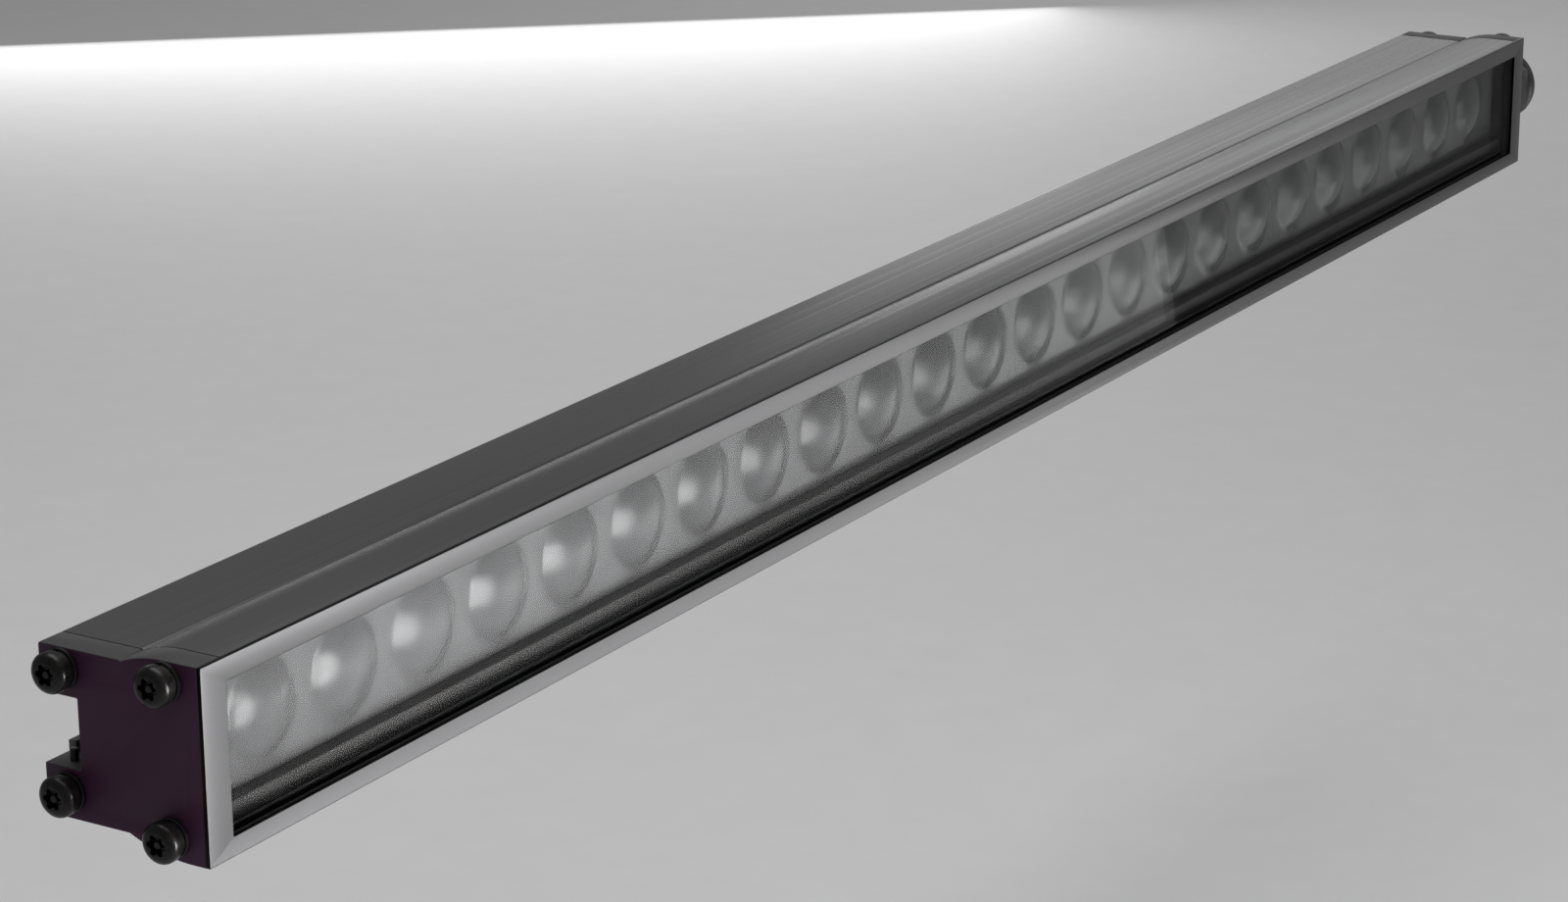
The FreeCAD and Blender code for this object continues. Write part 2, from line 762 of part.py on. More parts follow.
def make_cap_fasteners(side):
    screws = []
    flats = []
    springs = []
    for number, (y, z) in enumerate(screw_places, start=1):
        tag = "%s_%d" % (side, number)
        screws.append(make_cap_screw("CapScrew_" + tag, side, y, z))
        flats.append(make_washer("FlatWasher_" + tag, side, y, z, ZERO, flat_washer, flat_radius))
        spring = make_washer("SpringWasher_" + tag, side, y, z, flat_washer, spring_washer, spring_radius)
        low = end_x(side, flat_washer)
        start = low if side == "right" else low - spring_washer
        cut_yz(spring, "spring_split_" + tag, start, spring_washer,
               lambda sketch: draw_box(sketch, y - spring_split / 2, y + spring_split / 2, z,
                                       z + spring_radius + spring_split))
        springs.append(spring)
    keep_group(screws, "cap_screws_" + side)
    keep_group(flats, "cap_flat_washers_" + side)
    keep_group(springs, "cap_spring_washers_" + side)


# ---- cable gland ---------------------------------------------------------------------------------

def make_gland():
    washer = new_body("GlandWasher")
    turned(washer, "gland_washer_profile", length, gland_set, gland_level, "right", [
        (ZERO, gland_thread + gland_play), (ZERO, gland_flats / 2), (gland_washer_thick, gland_flats / 2),
        (gland_washer_thick, gland_thread + gland_play),
    ])
    keep(washer, "gland_washer")

    body = new_body("GlandBody")
    flange_end = gland_washer_thick + gland_flange
    turned(body, "gland_body_profile", length, gland_set, gland_level, "right", [
        (fit_gap - cap_thick, gland_bore), (flange_end + gland_barrel, gland_bore),
        (flange_end + gland_barrel, gland_thread), (fit_gap - cap_thick, gland_thread),
    ])

    def hexagon(sketch):
        draw_hexagon(sketch, gland_set, gland_level, gland_flats)
        draw_circle(sketch, gland_set, gland_level, gland_bore)

    slab_yz(body, "gland_hexagon", gland_face, gland_flange, hexagon)
    keep(body, "gland_body")

    nut_start = flange_end + nut_gap
    seat = nut_start + nut_grip
    seal_start = flange_end + gland_barrel
    seal_end = seat + nut_collar / 2
    nut = new_body("GlandDomeNut")
    grip_start = length + nut_start

    def grip(sketch):
        draw_hexagon(sketch, gland_set, gland_level, gland_flats)
        draw_circle(sketch, gland_set, gland_level, gland_thread + gland_play)

    slab_yz(nut, "nut_grip_hexagon", grip_start, nut_grip, grip)
    sketch = sketch_on(nut, "XY_Plane", "nut_collar_profile", (length, gland_set, gland_level))
    inner = gland_thread + gland_play
    draw_loop(sketch, [
        (seat, inner), (seal_end + gland_play, inner), (seal_end + gland_play, nut_mouth),
        (seat + nut_collar, nut_mouth), (seat + nut_collar, nut_collar_radius - nut_dome),
        (seat + nut_collar - nut_dome, nut_collar_radius), (seat, nut_collar_radius),
    ], {4: (nut_dome * math.sqrt(2), -1)})
    revolve(nut, sketch, "H_Axis")
    keep(nut, "gland_dome_nut")

    seal = new_body("GlandSeal")
    turned(seal, "gland_seal_profile", length, gland_set, gland_level, "right", [
        (seal_start, gland_cable), (seal_end, gland_cable), (seal_end, gland_thread),
        (seal_start, gland_thread),
    ])
    keep(seal, "gland_seal")


# ---- light engine --------------------------------------------------------------------------------

def strip_x(number):
    """Where a strip's six optics begin."""
    return optic_start + strip_length * (number - 1)


def make_lens_strip(number):
    """Six round lenses on one plate: a dome in front, a short cone behind, posts to the board.

    The plates of the first and the last strip run on to the ends of the window.
    """
    body = new_body("LensStrip_%d" % number)
    start = strip_x(number)
    low_x = start + strip_gap / 2
    high_x = start + strip_length - strip_gap / 2
    if number == 1:
        low_x = housing_start + trim_gap
    if number == strip_count:
        high_x = length - housing_start - trim_gap
    slab_xz(body, "lens_plate_%d" % number, plate_front, lens_plate,
            lambda sketch: draw_box(sketch, low_x, high_x, lens_low, lens_high))
    tip = led_front - lens_air
    dome_radius = (lens_radius * lens_radius + lens_dome * lens_dome) / (2 * lens_dome)
    lens = sketch_on(body, "XY_Plane", "lens_section_%d" % number,
                     (start + lens_pitch / 2, ZERO, lens_level))
    draw_loop(lens, [
        (ZERO, lens_front), (ZERO, tip), (lens_tip_radius, tip), (lens_stem_radius, plate_back),
        (lens_stem_radius, plate_front + lens_plate / 2), (lens_radius, plate_front + lens_plate / 2),
        (lens_radius, plate_front),
    ], {6: (dome_radius, -1)})
    turned_lens = revolve(body, lens, "V_Axis")
    repeat_along_x(body, [turned_lens], lens_pitch, lenses_per_strip)
    cut_xz(body, "lens_top_trim_%d" % number, lens_front, lens_dome + lens_plate,
           lambda sketch: draw_box(sketch, low_x, high_x, lens_high, lens_high + lens_radius))

    def posts(sketch):
        for step in post_steps:
            draw_circle(sketch, start + lens_pitch * step, lens_level, post_radius)

    slab_xz(body, "lens_posts_%d" % number, plate_back, board_front - plate_back, posts)
    keep(body, "lens_strip_%d" % number)


def notched_outline(sketch, start):
    """A board's outline, with a corner notch for the leads."""
    low_x = start + strip_gap / 2
    high_x = start + strip_length - strip_gap / 2
    draw_loop(sketch, [
        (low_x, board_low), (high_x, board_low), (high_x, board_high),
        (low_x + notch_length, board_high), (low_x + notch_length, board_high - notch_height),
        (low_x, board_high - notch_height),
    ])
    for step in board_screw_steps:
        draw_circle(sketch, start + lens_pitch * step, lens_level, board_screw_radius + screw_clear)


def make_board(number):
    start = strip_x(number)
    board = new_body("LedBoard_%d" % number)
    slab_xz(board, "board_outline_%d" % number, board_front, board_thick,
            lambda sketch: notched_outline(sketch, start))
    keep(board, "led_board_%d" % number)
    thermal_pad = new_body("ThermalPad_%d" % number)
    slab_xz(thermal_pad, "pad_outline_%d" % number, board_back, pad_thick,
            lambda sketch: notched_outline(sketch, start))
    keep(thermal_pad, "thermal_pad_%d" % number)
    leds = []
    for lens in range(lenses_per_strip):
        middle = start + lens_pitch * (lens + 0.5)
        leds.append(box("Led_%d_%d" % (number, lens + 1), middle - led_size / 2, led_front,
                        lens_level - led_size / 2, led_size, led_thick, led_size))
    keep_group(leds, "leds_%d" % number)


def make_board_screws():
    screws = []
    for number, x in enumerate(board_screw_places, start=1):
        body = new_body("BoardScrew_%d" % number)
        slab_xz(body, "board_screw_shank_%d" % number, board_front, web_back - board_front,
                lambda sketch: draw_circle(sketch, x, lens_level, board_screw_radius))
        slab_xz(body, "board_screw_head_%d" % number, board_front - board_screw_head, board_screw_head,
                lambda sketch: draw_circle(sketch, x, lens_level, board_screw_head_radius))
        screws.append(body)
    keep_group(screws, "board_screws")


def make_board_connectors():
    """Bridges from board to board over the corner notches."""
    bridges = []
    for number in range(2, strip_count + 1):
        joint = strip_x(number)
        bridges.append(box("Bridge_%d" % number, joint - bridge_lap, board_front - bridge_thick,
                           board_high - notch_height, bridge_lap + notch_length + bridge_rest, bridge_thick,
                           notch_height))
    keep_group(bridges, "board_connectors")


def make_lower_trim():
    """The strip under the lens plates: a thin wall before the step, with a shelf along its top."""
    body = new_body("LowerTrim")
    foot = window_low + trim_gap
    under = lens_low - trim_gap
    top = under + trim_shelf

    def profile(sketch):
        draw_loop(sketch, [
            (ledge_front, foot), (ledge_back - trim_gap, foot), (ledge_back - trim_gap, under),
            (plate_front - trim_gap, under), (plate_front - trim_gap, top), (ledge_front + trim_round, top),
            (ledge_front, top - trim_round),
        ], {5: (trim_round, 1)})

    slab_yz(body, "trim_profile", housing_start + trim_gap, housing_length - 2 * trim_gap, profile)
    keep(body, "lower_trim")


# ---- driver and wiring ---------------------------------------------------------------------------

def make_driver():
    case_y = web_back + fit_gap
    case_z = rear_low + fit_gap
    case = new_body("DriverCase")
    slab_yz(case, "case_block", driver_start, driver_length,
            lambda sketch: draw_box(sketch, case_y, case_y + driver_deep, case_z, case_z + driver_height))
    inner_start = driver_start + driver_boss
    inner_length = driver_length - 2 * driver_boss
    inside_low = case_z + driver_wall
    inside_high = case_z + driver_height
    cut_yz(case, "case_hollow", inner_start, inner_length,
           lambda sketch: draw_box(sketch, case_y + driver_wall, case_y + driver_deep - driver_wall,
                                   inside_low, inside_high))
    screw_y = case_y + driver_deep / 2
    screw_xs = (driver_start + driver_boss / 2, driver_start + driver_length - driver_boss / 2)

    def screw_circles(sketch, radius):
        for x in screw_xs:
            draw_circle(sketch, x, screw_y, radius)

    holes = sketch_on(case, "XY_Plane", "case_screw_holes", (ZERO, ZERO, inside_high))
    screw_circles(holes, driver_screw_radius + screw_play)
    pocket(case, holes, driver_screw_reach + fit_gap)
    keep(case, "driver_case")

    cover = new_body("DriverCover")
    sheet_sketch = sketch_on(cover, "XY_Plane", "cover_outline", (ZERO, ZERO, inside_high))
    draw_box(sheet_sketch, driver_start, driver_start + driver_length, case_y, case_y + driver_deep)
    screw_circles(sheet_sketch, driver_screw_radius + screw_play)
    pad(cover, sheet_sketch, driver_wall)
    keep(cover, "driver_cover")

    screws = []
    for number, x in enumerate(screw_xs, start=1):
        body = new_body("DriverScrew_%d" % number)
        shank = sketch_on(body, "XY_Plane", "driver_screw_shank_%d" % number,
                          (ZERO, ZERO, inside_high - driver_screw_reach))
        draw_circle(shank, x, screw_y, driver_screw_radius)
        pad(body, shank, driver_screw_reach + driver_wall)
        head = sketch_on(body, "XY_Plane", "driver_screw_head_%d" % number,
                         (ZERO, ZERO, inside_high + driver_wall))
        draw_circle(head, x, screw_y, driver_screw_head_radius)
        pad(body, head, driver_screw_head)
        screws.append(body)
    keep_group(screws, "driver_screws")

    board_y = case_y + driver_wall + fit_gap
    board_deep = driver_deep - 2 * driver_wall - 2 * fit_gap
    board_z = inside_low + fit_gap
    board_x = inner_start + fit_gap
    keep_group([box("DriverBoard", board_x, board_y, board_z, inner_length - 2 * fit_gap, board_deep,
                    board_thick)], "driver_board")
    parts_z = board_z + board_thick
    tall = driver_height - driver_wall - board_thick - 3 * fit_gap
    parts = []
    for number, (share, long_share, high_share) in enumerate(driver_part_shares, start=1):
        parts.append(box("DriverPart_%d" % number, board_x + inner_length * share,
                         board_y + board_deep / 8, parts_z, inner_length * long_share,
                         board_deep * 3 / 4, tall * high_share))
    keep_group(parts, "driver_parts")


def make_wiring():
    block_y = web_back + fit_gap
    block = box("TerminalBlock", terminal_start, block_y, gland_level - terminal_height / 2,
                terminal_length, terminal_deep, terminal_height)
    keep_group([block], "terminal_block")
    supply = []
    driver_end = driver_start + driver_length
    for number, step in enumerate((-1, 0, 1), start=1):
        body = new_body("SupplyLead_%d" % number)
        slab_yz(body, "supply_circle_%d" % number, driver_end, terminal_start - driver_end,
                lambda sketch: draw_circle(sketch, block_y + terminal_deep / 2,
                                           gland_level + lead_pitch * step, lead_radius))
        supply.append(body)
    keep_group(supply, "supply_leads")

    leads = []
    for number, step in enumerate((-0.5, 0.5), start=1):
        z = grommet_z + lead_pitch * step
        body = new_body("LedLead_%d" % number)
        path = sketch_on(body, "XY_Plane", "led_lead_path_%d" % number, (ZERO, ZERO, z))
        draw_lead_path(path)
        circle = sketch_on(body, "YZ_Plane", "led_lead_circle_%d" % number, (ZERO, ZERO, driver_start))
        draw_circle(circle, lead_set, z, lead_radius)
        pipe = body.newObject("PartDesign::AdditivePipe", "led_lead_pipe_%d" % number)
        pipe.Profile = circle
        pipe.Spine = (path, ["Edge1", "Edge2", "Edge3"])
        leads.append(body)
    keep_group(leads, "led_leads")

    grommet = new_body("LeadGrommet")

    def bores(sketch):
        for step in (-0.5, 0.5):
            draw_circle(sketch, grommet_x, grommet_z + lead_pitch * step, lead_radius + lead_play)

    def plug(sketch):
        draw_circle(sketch, grommet_x, grommet_z, grommet_radius)
        bores(sketch)

    def flange(sketch):
        draw_circle(sketch, grommet_x, grommet_z, grommet_flange)
        bores(sketch)

    slab_xz(grommet, "grommet_plug", web_front, web_thick, plug)
    slab_xz(grommet, "grommet_flange_ring", web_back, grommet_lip, flange)
    keep(grommet, "lead_grommet")


def draw_lead_path(sketch):
    """Along the driver's level, round one bend and forward to the bridge between two boards."""
    corner_x = grommet_x + lead_bend
    corner_y = lead_set - lead_bend
    first = FreeCAD.Vector(driver_start.value, lead_set.value, 0)
    second = FreeCAD.Vector(corner_x.value, lead_set.value, 0)
    third = FreeCAD.Vector(grommet_x.value, corner_y.value, 0)
    fourth = FreeCAD.Vector(grommet_x.value, board_front.value, 0)
    centre = FreeCAD.Vector(corner_x.value, corner_y.value, 0)
    sketch.addGeometry(Part.LineSegment(first, second), False)
    circle = Part.Circle(centre, FreeCAD.Vector(0, 0, 1), lead_bend.value)
    sketch.addGeometry(Part.ArcOfCircle(circle, math.pi / 2, math.pi), False)
    sketch.addGeometry(Part.LineSegment(third, fourth), False)
    sketch.addConstraint(Sketcher.Constraint("Coincident", 0, 2, 1, 1))
    sketch.addConstraint(Sketcher.Constraint("Coincident", 1, 2, 2, 1))
    pin_point(sketch, 0, 1, driver_start, lead_set)
    pin_point(sketch, 0, 2, corner_x, lead_set)
    pin_point(sketch, 2, 1, grommet_x, corner_y)
    pin_point(sketch, 2, 2, grommet_x, board_front)
    bound = sketch.addConstraint(Sketcher.Constraint("Radius", 1, lead_bend.value))
    sketch.setExpression("Constraints[%d]" % bound, lead_bend.formula)


# ---- wall feet -----------------------------------------------------------------------------------

def foot_x(side):
    """The x of a foot's middle."""
    if side == "left":
        return length / 2 - foot_spread / 2
    return length / 2 + foot_spread / 2


def make_slider(side):
    """A shoe in the channel with a neck through its mouth and a lug for the pivot bolt."""
    middle = foot_x(side)
    body = new_body("Slider_" + side)
    half = channel_height / 2 - shoe_play
    slab_yz(body, "shoe_block_" + side, middle - shoe_length / 2, shoe_length,
            lambda sketch: draw_box(sketch, shoe_front, shoe_back, channel_middle - half,
                                    channel_middle + half))
    neck = channel_height / 2 - lip_height - neck_play
    lug_start = middle - lug_thick / 2
    slab_yz(body, "neck_block_" + side, lug_start, lug_thick,
            lambda sketch: draw_box(sketch, shoe_front, pivot_set, channel_middle - neck,
                                    channel_middle + neck))
    slab_yz(body, "lug_disc_" + side, lug_start, lug_thick,
            lambda sketch: draw_circle(sketch, pivot_set, channel_middle, lug_radius))
    cut_yz(body, "lug_bore_" + side, lug_start, lug_thick,
           lambda sketch: draw_circle(sketch, pivot_set, channel_middle, bolt_radius + bolt_play))

    def grub_holes(sketch):
        for way in (-1, 1):
            draw_circle(sketch, middle + way * grub_offset, channel_middle, grub_radius + screw_play)

    cut_xz(body, "grub_holes_" + side, shoe_front, shoe_thick, grub_holes)
    keep(body, "slider_" + side)
    grubs = []
    for number, way in enumerate((-1, 1), start=1):
        tag = "%s_%d" % (side, number)
        grub = new_body("Grub_" + tag)
        start = channel_floor + grub_gap
        slab_xz(grub, "grub_circle_" + tag, start, shoe_back - start,
                lambda sketch: draw_circle(sketch, middle + way * grub_offset, channel_middle, grub_radius))
        cut_xz(grub, "grub_socket_" + tag, shoe_back - grub_radius, grub_radius,
               lambda sketch: draw_hexagon(sketch, middle + way * grub_offset, channel_middle, grub_radius))
        grubs.append(grub)
    keep_group(grubs, "grub_screws_" + side)


def make_wall_foot(side):
    """A plate on the wall with two ears that hold the pivot bolt."""
    middle = foot_x(side)
    body = new_body("WallFoot_" + side)
    plate_y = wall_plane - foot_thick
    half_gap = lug_thick / 2 + ear_play

    def plate(sketch):
        draw_box(sketch, middle - foot_length / 2, middle + foot_length / 2,
                 channel_middle - foot_height / 2, channel_middle + foot_height / 2)
        for way in (-1, 1):
            draw_circle(sketch, middle + way * foot_holes / 2, channel_middle, foot_hole_radius)

    slab_xz(body, "foot_plate_" + side, plate_y, foot_thick, plate)
    for way, start in (("near", middle - half_gap - ear_thick), ("far", middle + half_gap)):
        tag = "%s_%s" % (way, side)
        slab_yz(body, "ear_block_" + tag, start, ear_thick,
                lambda sketch: draw_box(sketch, pivot_set, plate_y, channel_middle - ear_radius,
                                        channel_middle + ear_radius))
        slab_yz(body, "ear_disc_" + tag, start, ear_thick,
                lambda sketch: draw_circle(sketch, pivot_set, channel_middle, ear_radius))
        cut_yz(body, "ear_bore_" + tag, start, ear_thick,
               lambda sketch: draw_circle(sketch, pivot_set, channel_middle, bolt_radius + bolt_play))
    keep(body, "wall_foot_" + side)

    grip = half_gap + ear_thick
    bolt = new_body("PivotBolt_" + side)
    turned(bolt, "pivot_bolt_profile_" + side, middle, pivot_set, channel_middle, "right", [
        (-grip - bolt_head, ZERO), (grip + nut_thick + bolt_point, ZERO),
        (grip + nut_thick + bolt_point, bolt_radius), (-grip, bolt_radius), (-grip, bolt_head_radius),
        (-grip - bolt_head, bolt_head_radius),
    ])
    cut_yz(bolt, "pivot_socket_" + side, middle - grip - bolt_head, bolt_head / 2,
           lambda sketch: draw_hexagon(sketch, pivot_set, channel_middle, bolt_head_radius))
    keep(bolt, "pivot_bolt_" + side)

    def nut_section(sketch):
        draw_hexagon(sketch, pivot_set, channel_middle, nut_flats)
        draw_circle(sketch, pivot_set, channel_middle, bolt_radius + bolt_play)

    nut = new_body("PivotNut_" + side)
    slab_yz(nut, "pivot_nut_section_" + side, middle + grip, nut_thick, nut_section)
    keep(nut, "pivot_nut_" + side)


# ---- the whole light -----------------------------------------------------------------------------

make_housing()
make_front_frame()
make_glass()
for side in SIDES:
    make_end_cap(side)
    make_end_seal(side)
    make_cap_fasteners(side)
    make_slider(side)
    make_wall_foot(side)
make_stop_pins()
make_gland()
for number in range(1, strip_count + 1):
    make_lens_strip(number)
    make_board(number)
make_board_screws()
make_board_connectors()
make_lower_trim()
make_driver()
make_wiring()
doc.recompute()

for item in doc.Objects:
    if "Invalid" in item.State or "Error" in item.State:
        raise ValueError("%s (%s) failed: %s" % (item.Name, item.Label, item.State))
for item in nodes:
    if item.Shape.isNull() or not item.Shape.isValid() or not item.Shape.Solids:
        raise ValueError("%s has no sound shape" % item.Label)

os.makedirs("parts", exist_ok=True)
for item in nodes:
    item.Shape.exportStep("parts/%s.step" % item.Label)
print("%d sub-parts written" % len(nodes))
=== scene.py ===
import json
import math

import bmesh
import bpy
import numpy as np
from mathutils import Matrix, Vector
from mathutils.geometry import tessellate_polygon


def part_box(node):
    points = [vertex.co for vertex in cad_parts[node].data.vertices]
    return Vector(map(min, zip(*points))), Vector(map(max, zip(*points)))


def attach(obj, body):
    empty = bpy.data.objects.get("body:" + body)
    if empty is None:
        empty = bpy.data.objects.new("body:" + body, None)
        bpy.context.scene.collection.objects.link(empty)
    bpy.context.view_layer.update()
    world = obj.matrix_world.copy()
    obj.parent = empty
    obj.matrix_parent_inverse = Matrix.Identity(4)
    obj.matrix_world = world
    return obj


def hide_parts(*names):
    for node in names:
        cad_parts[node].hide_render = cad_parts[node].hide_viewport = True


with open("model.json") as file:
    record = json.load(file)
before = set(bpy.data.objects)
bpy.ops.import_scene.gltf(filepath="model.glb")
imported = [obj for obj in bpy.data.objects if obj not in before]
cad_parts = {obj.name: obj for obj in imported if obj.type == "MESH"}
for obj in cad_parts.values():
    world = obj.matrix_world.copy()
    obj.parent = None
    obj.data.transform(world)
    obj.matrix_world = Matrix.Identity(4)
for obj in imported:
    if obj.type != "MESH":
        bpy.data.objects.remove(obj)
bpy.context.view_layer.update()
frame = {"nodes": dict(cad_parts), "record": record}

# The looks of a linear outdoor wall washer: a grey anodised extrusion with a pale bezel, a glazed
# row of round satin lenses, end caps whose end faces are painted dark as shade, held by domed
# security screws, a cable gland, and two tilting wall feet that slide in the rear channel.
#
# Shapes are worked out in millimetres from the light's left front bottom corner: along it to the
# right, deep towards the wall, and up. as_metres turns them into the frame's own metres.

MM = 0.001
CORNER = np.array(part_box("front_frame")[0])
SIDES = ("left", "right")


def spot(point):
    """A point of the frame, in millimetres from the light's corner."""
    return (np.array(point) - CORNER) / MM


def span(node):
    """A CAD node's lowest and highest corners, in millimetres from the light's corner."""
    low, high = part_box(node)
    return spot(low), spot(high)


def level_at(up):
    """The frame's Z, in metres, of a height above the light's underside in millimetres."""
    return float(CORNER[2]) + up * MM


def as_metres(points):
    """Millimetres from the light's corner, as metres in the frame."""
    return CORNER + np.asarray(points, float) * MM


# ---- sizes, in millimetres ------------------------------------------------------------------------

LENGTH, _, HEIGHT = span("front_frame")[1]
FRAME_BACK = span("front_frame")[1][1]
DEPTH = span("housing")[1][1]
BODY_START, BODY_END = span("housing")[0][0], span("housing")[1][0]
CAP_THICK = span("end_cap_left")[1][0]
REAR_TOP, REAR_BOTTOM = HEIGHT - 2.8, 5.1
SHOULDER, CROWN_FLAT, KEEL_FLAT = 29.2, 14.0, 6.0
VALLEY_RUN, VALLEY_DIP = 0.6, 0.4
CHANNEL_LOW, CHANNEL_HIGH, CHANNEL_FLOOR = 21.0, 43.0, 46.0
LIP_HEIGHT, LIP_FRONT = 3.4, 56.7
WINDOW_LEFT, WINDOW_LOW, WINDOW_HIGH = 11.2, 6.2, 53.4
SEAT_LOW, SEAT_HIGH, LEDGE_FRONT, LEDGE_BACK = 3.1, 56.5, 7.3, 9.0
CHAMBER_LOW, CHAMBER_HIGH, WEB_FRONT, WEB_BACK, REAR_WALL = 11.75, 50.05, 20.0, 23.0, 43.0
REAR_LOW, REAR_HIGH = 7.5, HEIGHT - 5.2
SCREW_PLACES = ((13.0, 54.5), (13.0, 7.3), (50.8, 51.6), (50.8, 13.6))
SCREW_HOLE, CAP_HOLE, GLAND_HOLE = 3.05, 3.3, 12.5
LENS_COUNT, LENS_PITCH, LENS_LEVEL, STRIP_COUNT = 24, 40.0, 33.6, 4
GLAND_AT = (23.1, 30.0)
FOOT_SPREAD = 250.0
FOOT_PLACES = {"left": LENGTH / 2 - FOOT_SPREAD, "right": LENGTH / 2 + FOOT_SPREAD}
PIVOT_DEEP, PIVOT_UP, PIVOT_HOLE = 72.0, 32.0, 3.05


# ---- surfaces -------------------------------------------------------------------------------------

def rounded(points, radii, steps=3):
    """An outline with its corners rounded.

    Each corner P becomes the quadratic curve from A to B, which lie on its two edges at
    radius x tan(half the turn) from P. A radius of 0 leaves the corner as it is.
    """
    corner = np.asarray(points, float)
    back = np.roll(corner, 1, axis=0) - corner
    ahead = np.roll(corner, -1, axis=0) - corner
    back_length = np.linalg.norm(back, axis=1)
    ahead_length = np.linalg.norm(ahead, axis=1)
    back /= back_length[:, None]
    ahead /= ahead_length[:, None]
    turn = np.pi - np.arccos(np.clip((back * ahead).sum(1), -1, 1))
    cut = np.asarray(radii, float) * np.tan(turn / 2)
    cut = np.minimum(cut, 0.45 * np.minimum(back_length, ahead_length))
    start = corner + back * cut[:, None]
    finish = corner + ahead * cut[:, None]
    share = np.linspace(0, 1, steps + 1)[None, :, None]
    curve = (
        start[:, None] * (1 - share) ** 2
        + corner[:, None] * 2 * share * (1 - share)
        + finish[:, None] * share ** 2
    ).reshape(-1, 2)
    apart = np.linalg.norm(curve - np.roll(curve, 1, axis=0), axis=1) > 1e-6
    return curve[apart]


def arc_between(first, last, radius, steps=14):
    """Points inside the arc from first to last that bulges to the right, ends left out."""
    first, last = np.asarray(first, float), np.asarray(last, float)
    chord = last - first
    length = np.linalg.norm(chord)
    across = np.array([-chord[1], chord[0]]) / length
    centre = (first + last) / 2 + across * math.sqrt(radius ** 2 - (length / 2) ** 2)
    begin = math.atan2(*(first - centre)[::-1])
    sweep = 2 * math.asin(length / 2 / radius)
    angle = begin + sweep * np.linspace(0, 1, steps + 1)[1:-1]
    return centre + radius * np.stack([np.cos(angle), np.sin(angle)], axis=1)


def circle_hole(centre, radius, steps=48):
    """A circle run clockwise, so that the material lies on its left."""
    angle = -2 * np.pi * np.arange(steps) / steps
    return np.asarray(centre) + radius * np.stack([np.cos(angle), np.sin(angle)], axis=1)


def box_loop(low, high, radius, hole=False):
    """A rectangle with rounded corners, anticlockwise, or clockwise for a hole."""
    points = [(low[0], low[1]), (high[0], low[1]), (high[0], high[1]), (low[0], high[1])]
    loop = rounded(points, [radius] * 4)
    return loop[::-1] if hole else loop


def drawn_in(loop, amount):
    """A loop moved to its left by amount: each point goes along the mean of its edges' normals,
    lengthened so that both edges move by the full amount."""
    before = loop - np.roll(loop, 1, axis=0)
    after = np.roll(loop, -1, axis=0) - loop
    normals = []
    for edge in (before, after):
        edge = edge / np.linalg.norm(edge, axis=1)[:, None]
        normals.append(np.stack([-edge[:, 1], edge[:, 0]], axis=1))
    mean = normals[0] + normals[1]
    mean /= np.maximum(np.linalg.norm(mean, axis=1), 1e-9)[:, None]
    reach = np.maximum((mean * normals[0]).sum(1), 0.5)
    return loop + mean * (amount / reach)[:, None]


def along_axis(flat, position, axis):
    """Points of a flat outline set at a position along an axis: x keeps (deep, up), y keeps
    (along, up) and z keeps (along, deep)."""
    place = np.full(len(flat), float(position))
    order = {"x": (place, flat[:, 0], flat[:, 1]), "y": (flat[:, 0], place, flat[:, 1]),
             "z": (flat[:, 0], flat[:, 1], place)}
    return np.stack(order[axis], axis=1)


def grid_faces(rows, columns, offset=0):
    """Quads between neighbouring rows of a grid whose columns close round."""
    row, column = np.meshgrid(np.arange(rows - 1), np.arange(columns), indexing="ij")
    right = (column + 1) % columns
    quads = np.stack([row * columns + column, row * columns + right,
                      (row + 1) * columns + right, (row + 1) * columns + column], axis=-1)
    return (quads.reshape(-1, 4) + offset).tolist()


def prism(loops, start, stop, axis="x", breaks=(0.3, 0.3), marks=(0.0, 0.0)):
    """A straight bar: outlines carried along an axis, with both rims rounded over.

    Over each rim the outline sits at break x (1 - sin a) inside its full size and at
    break x (1 - cos a) from the end, for a from 0 to a quarter turn. The ends are flat faces.
    Returns points, faces and, for each point, 1 on the rims and walls and marks on the end faces.
    """
    quarter = np.linspace(0, np.pi / 2, 4)
    stations = [(start + breaks[0] * (1 - math.cos(a)), breaks[0] * (1 - math.sin(a))) for a in quarter]
    stations += [(stop - breaks[1] * (1 - math.cos(a)), breaks[1] * (1 - math.sin(a)))
                 for a in quarter[::-1]]
    points, faces, rims = [], [], []
    ends = {0: [], len(stations) - 1: []}
    offset = 0
    for loop in loops:
        rings = [along_axis(drawn_in(loop, inset), place, axis) for place, inset in stations]
        points += rings
        faces += grid_faces(len(rings), len(loop), offset)
        for number in range(len(rings)):
            mark = {0: marks[0], len(rings) - 1: marks[1]}.get(number, 1.0)
            rims.append(np.full(len(loop), mark))
        for number in ends:
            ends[number].append((rings[number], offset + number * len(loop)))
        offset += len(rings) * len(loop)
    for parts in ends.values():
        index = np.concatenate([first + np.arange(len(ring)) for ring, first in parts])
        flat = [ring.tolist() for ring, _ in parts]
        faces += [tuple(int(index[corner]) for corner in face) for face in tessellate_polygon(flat)]
    return np.concatenate(points), faces, np.concatenate(rims)


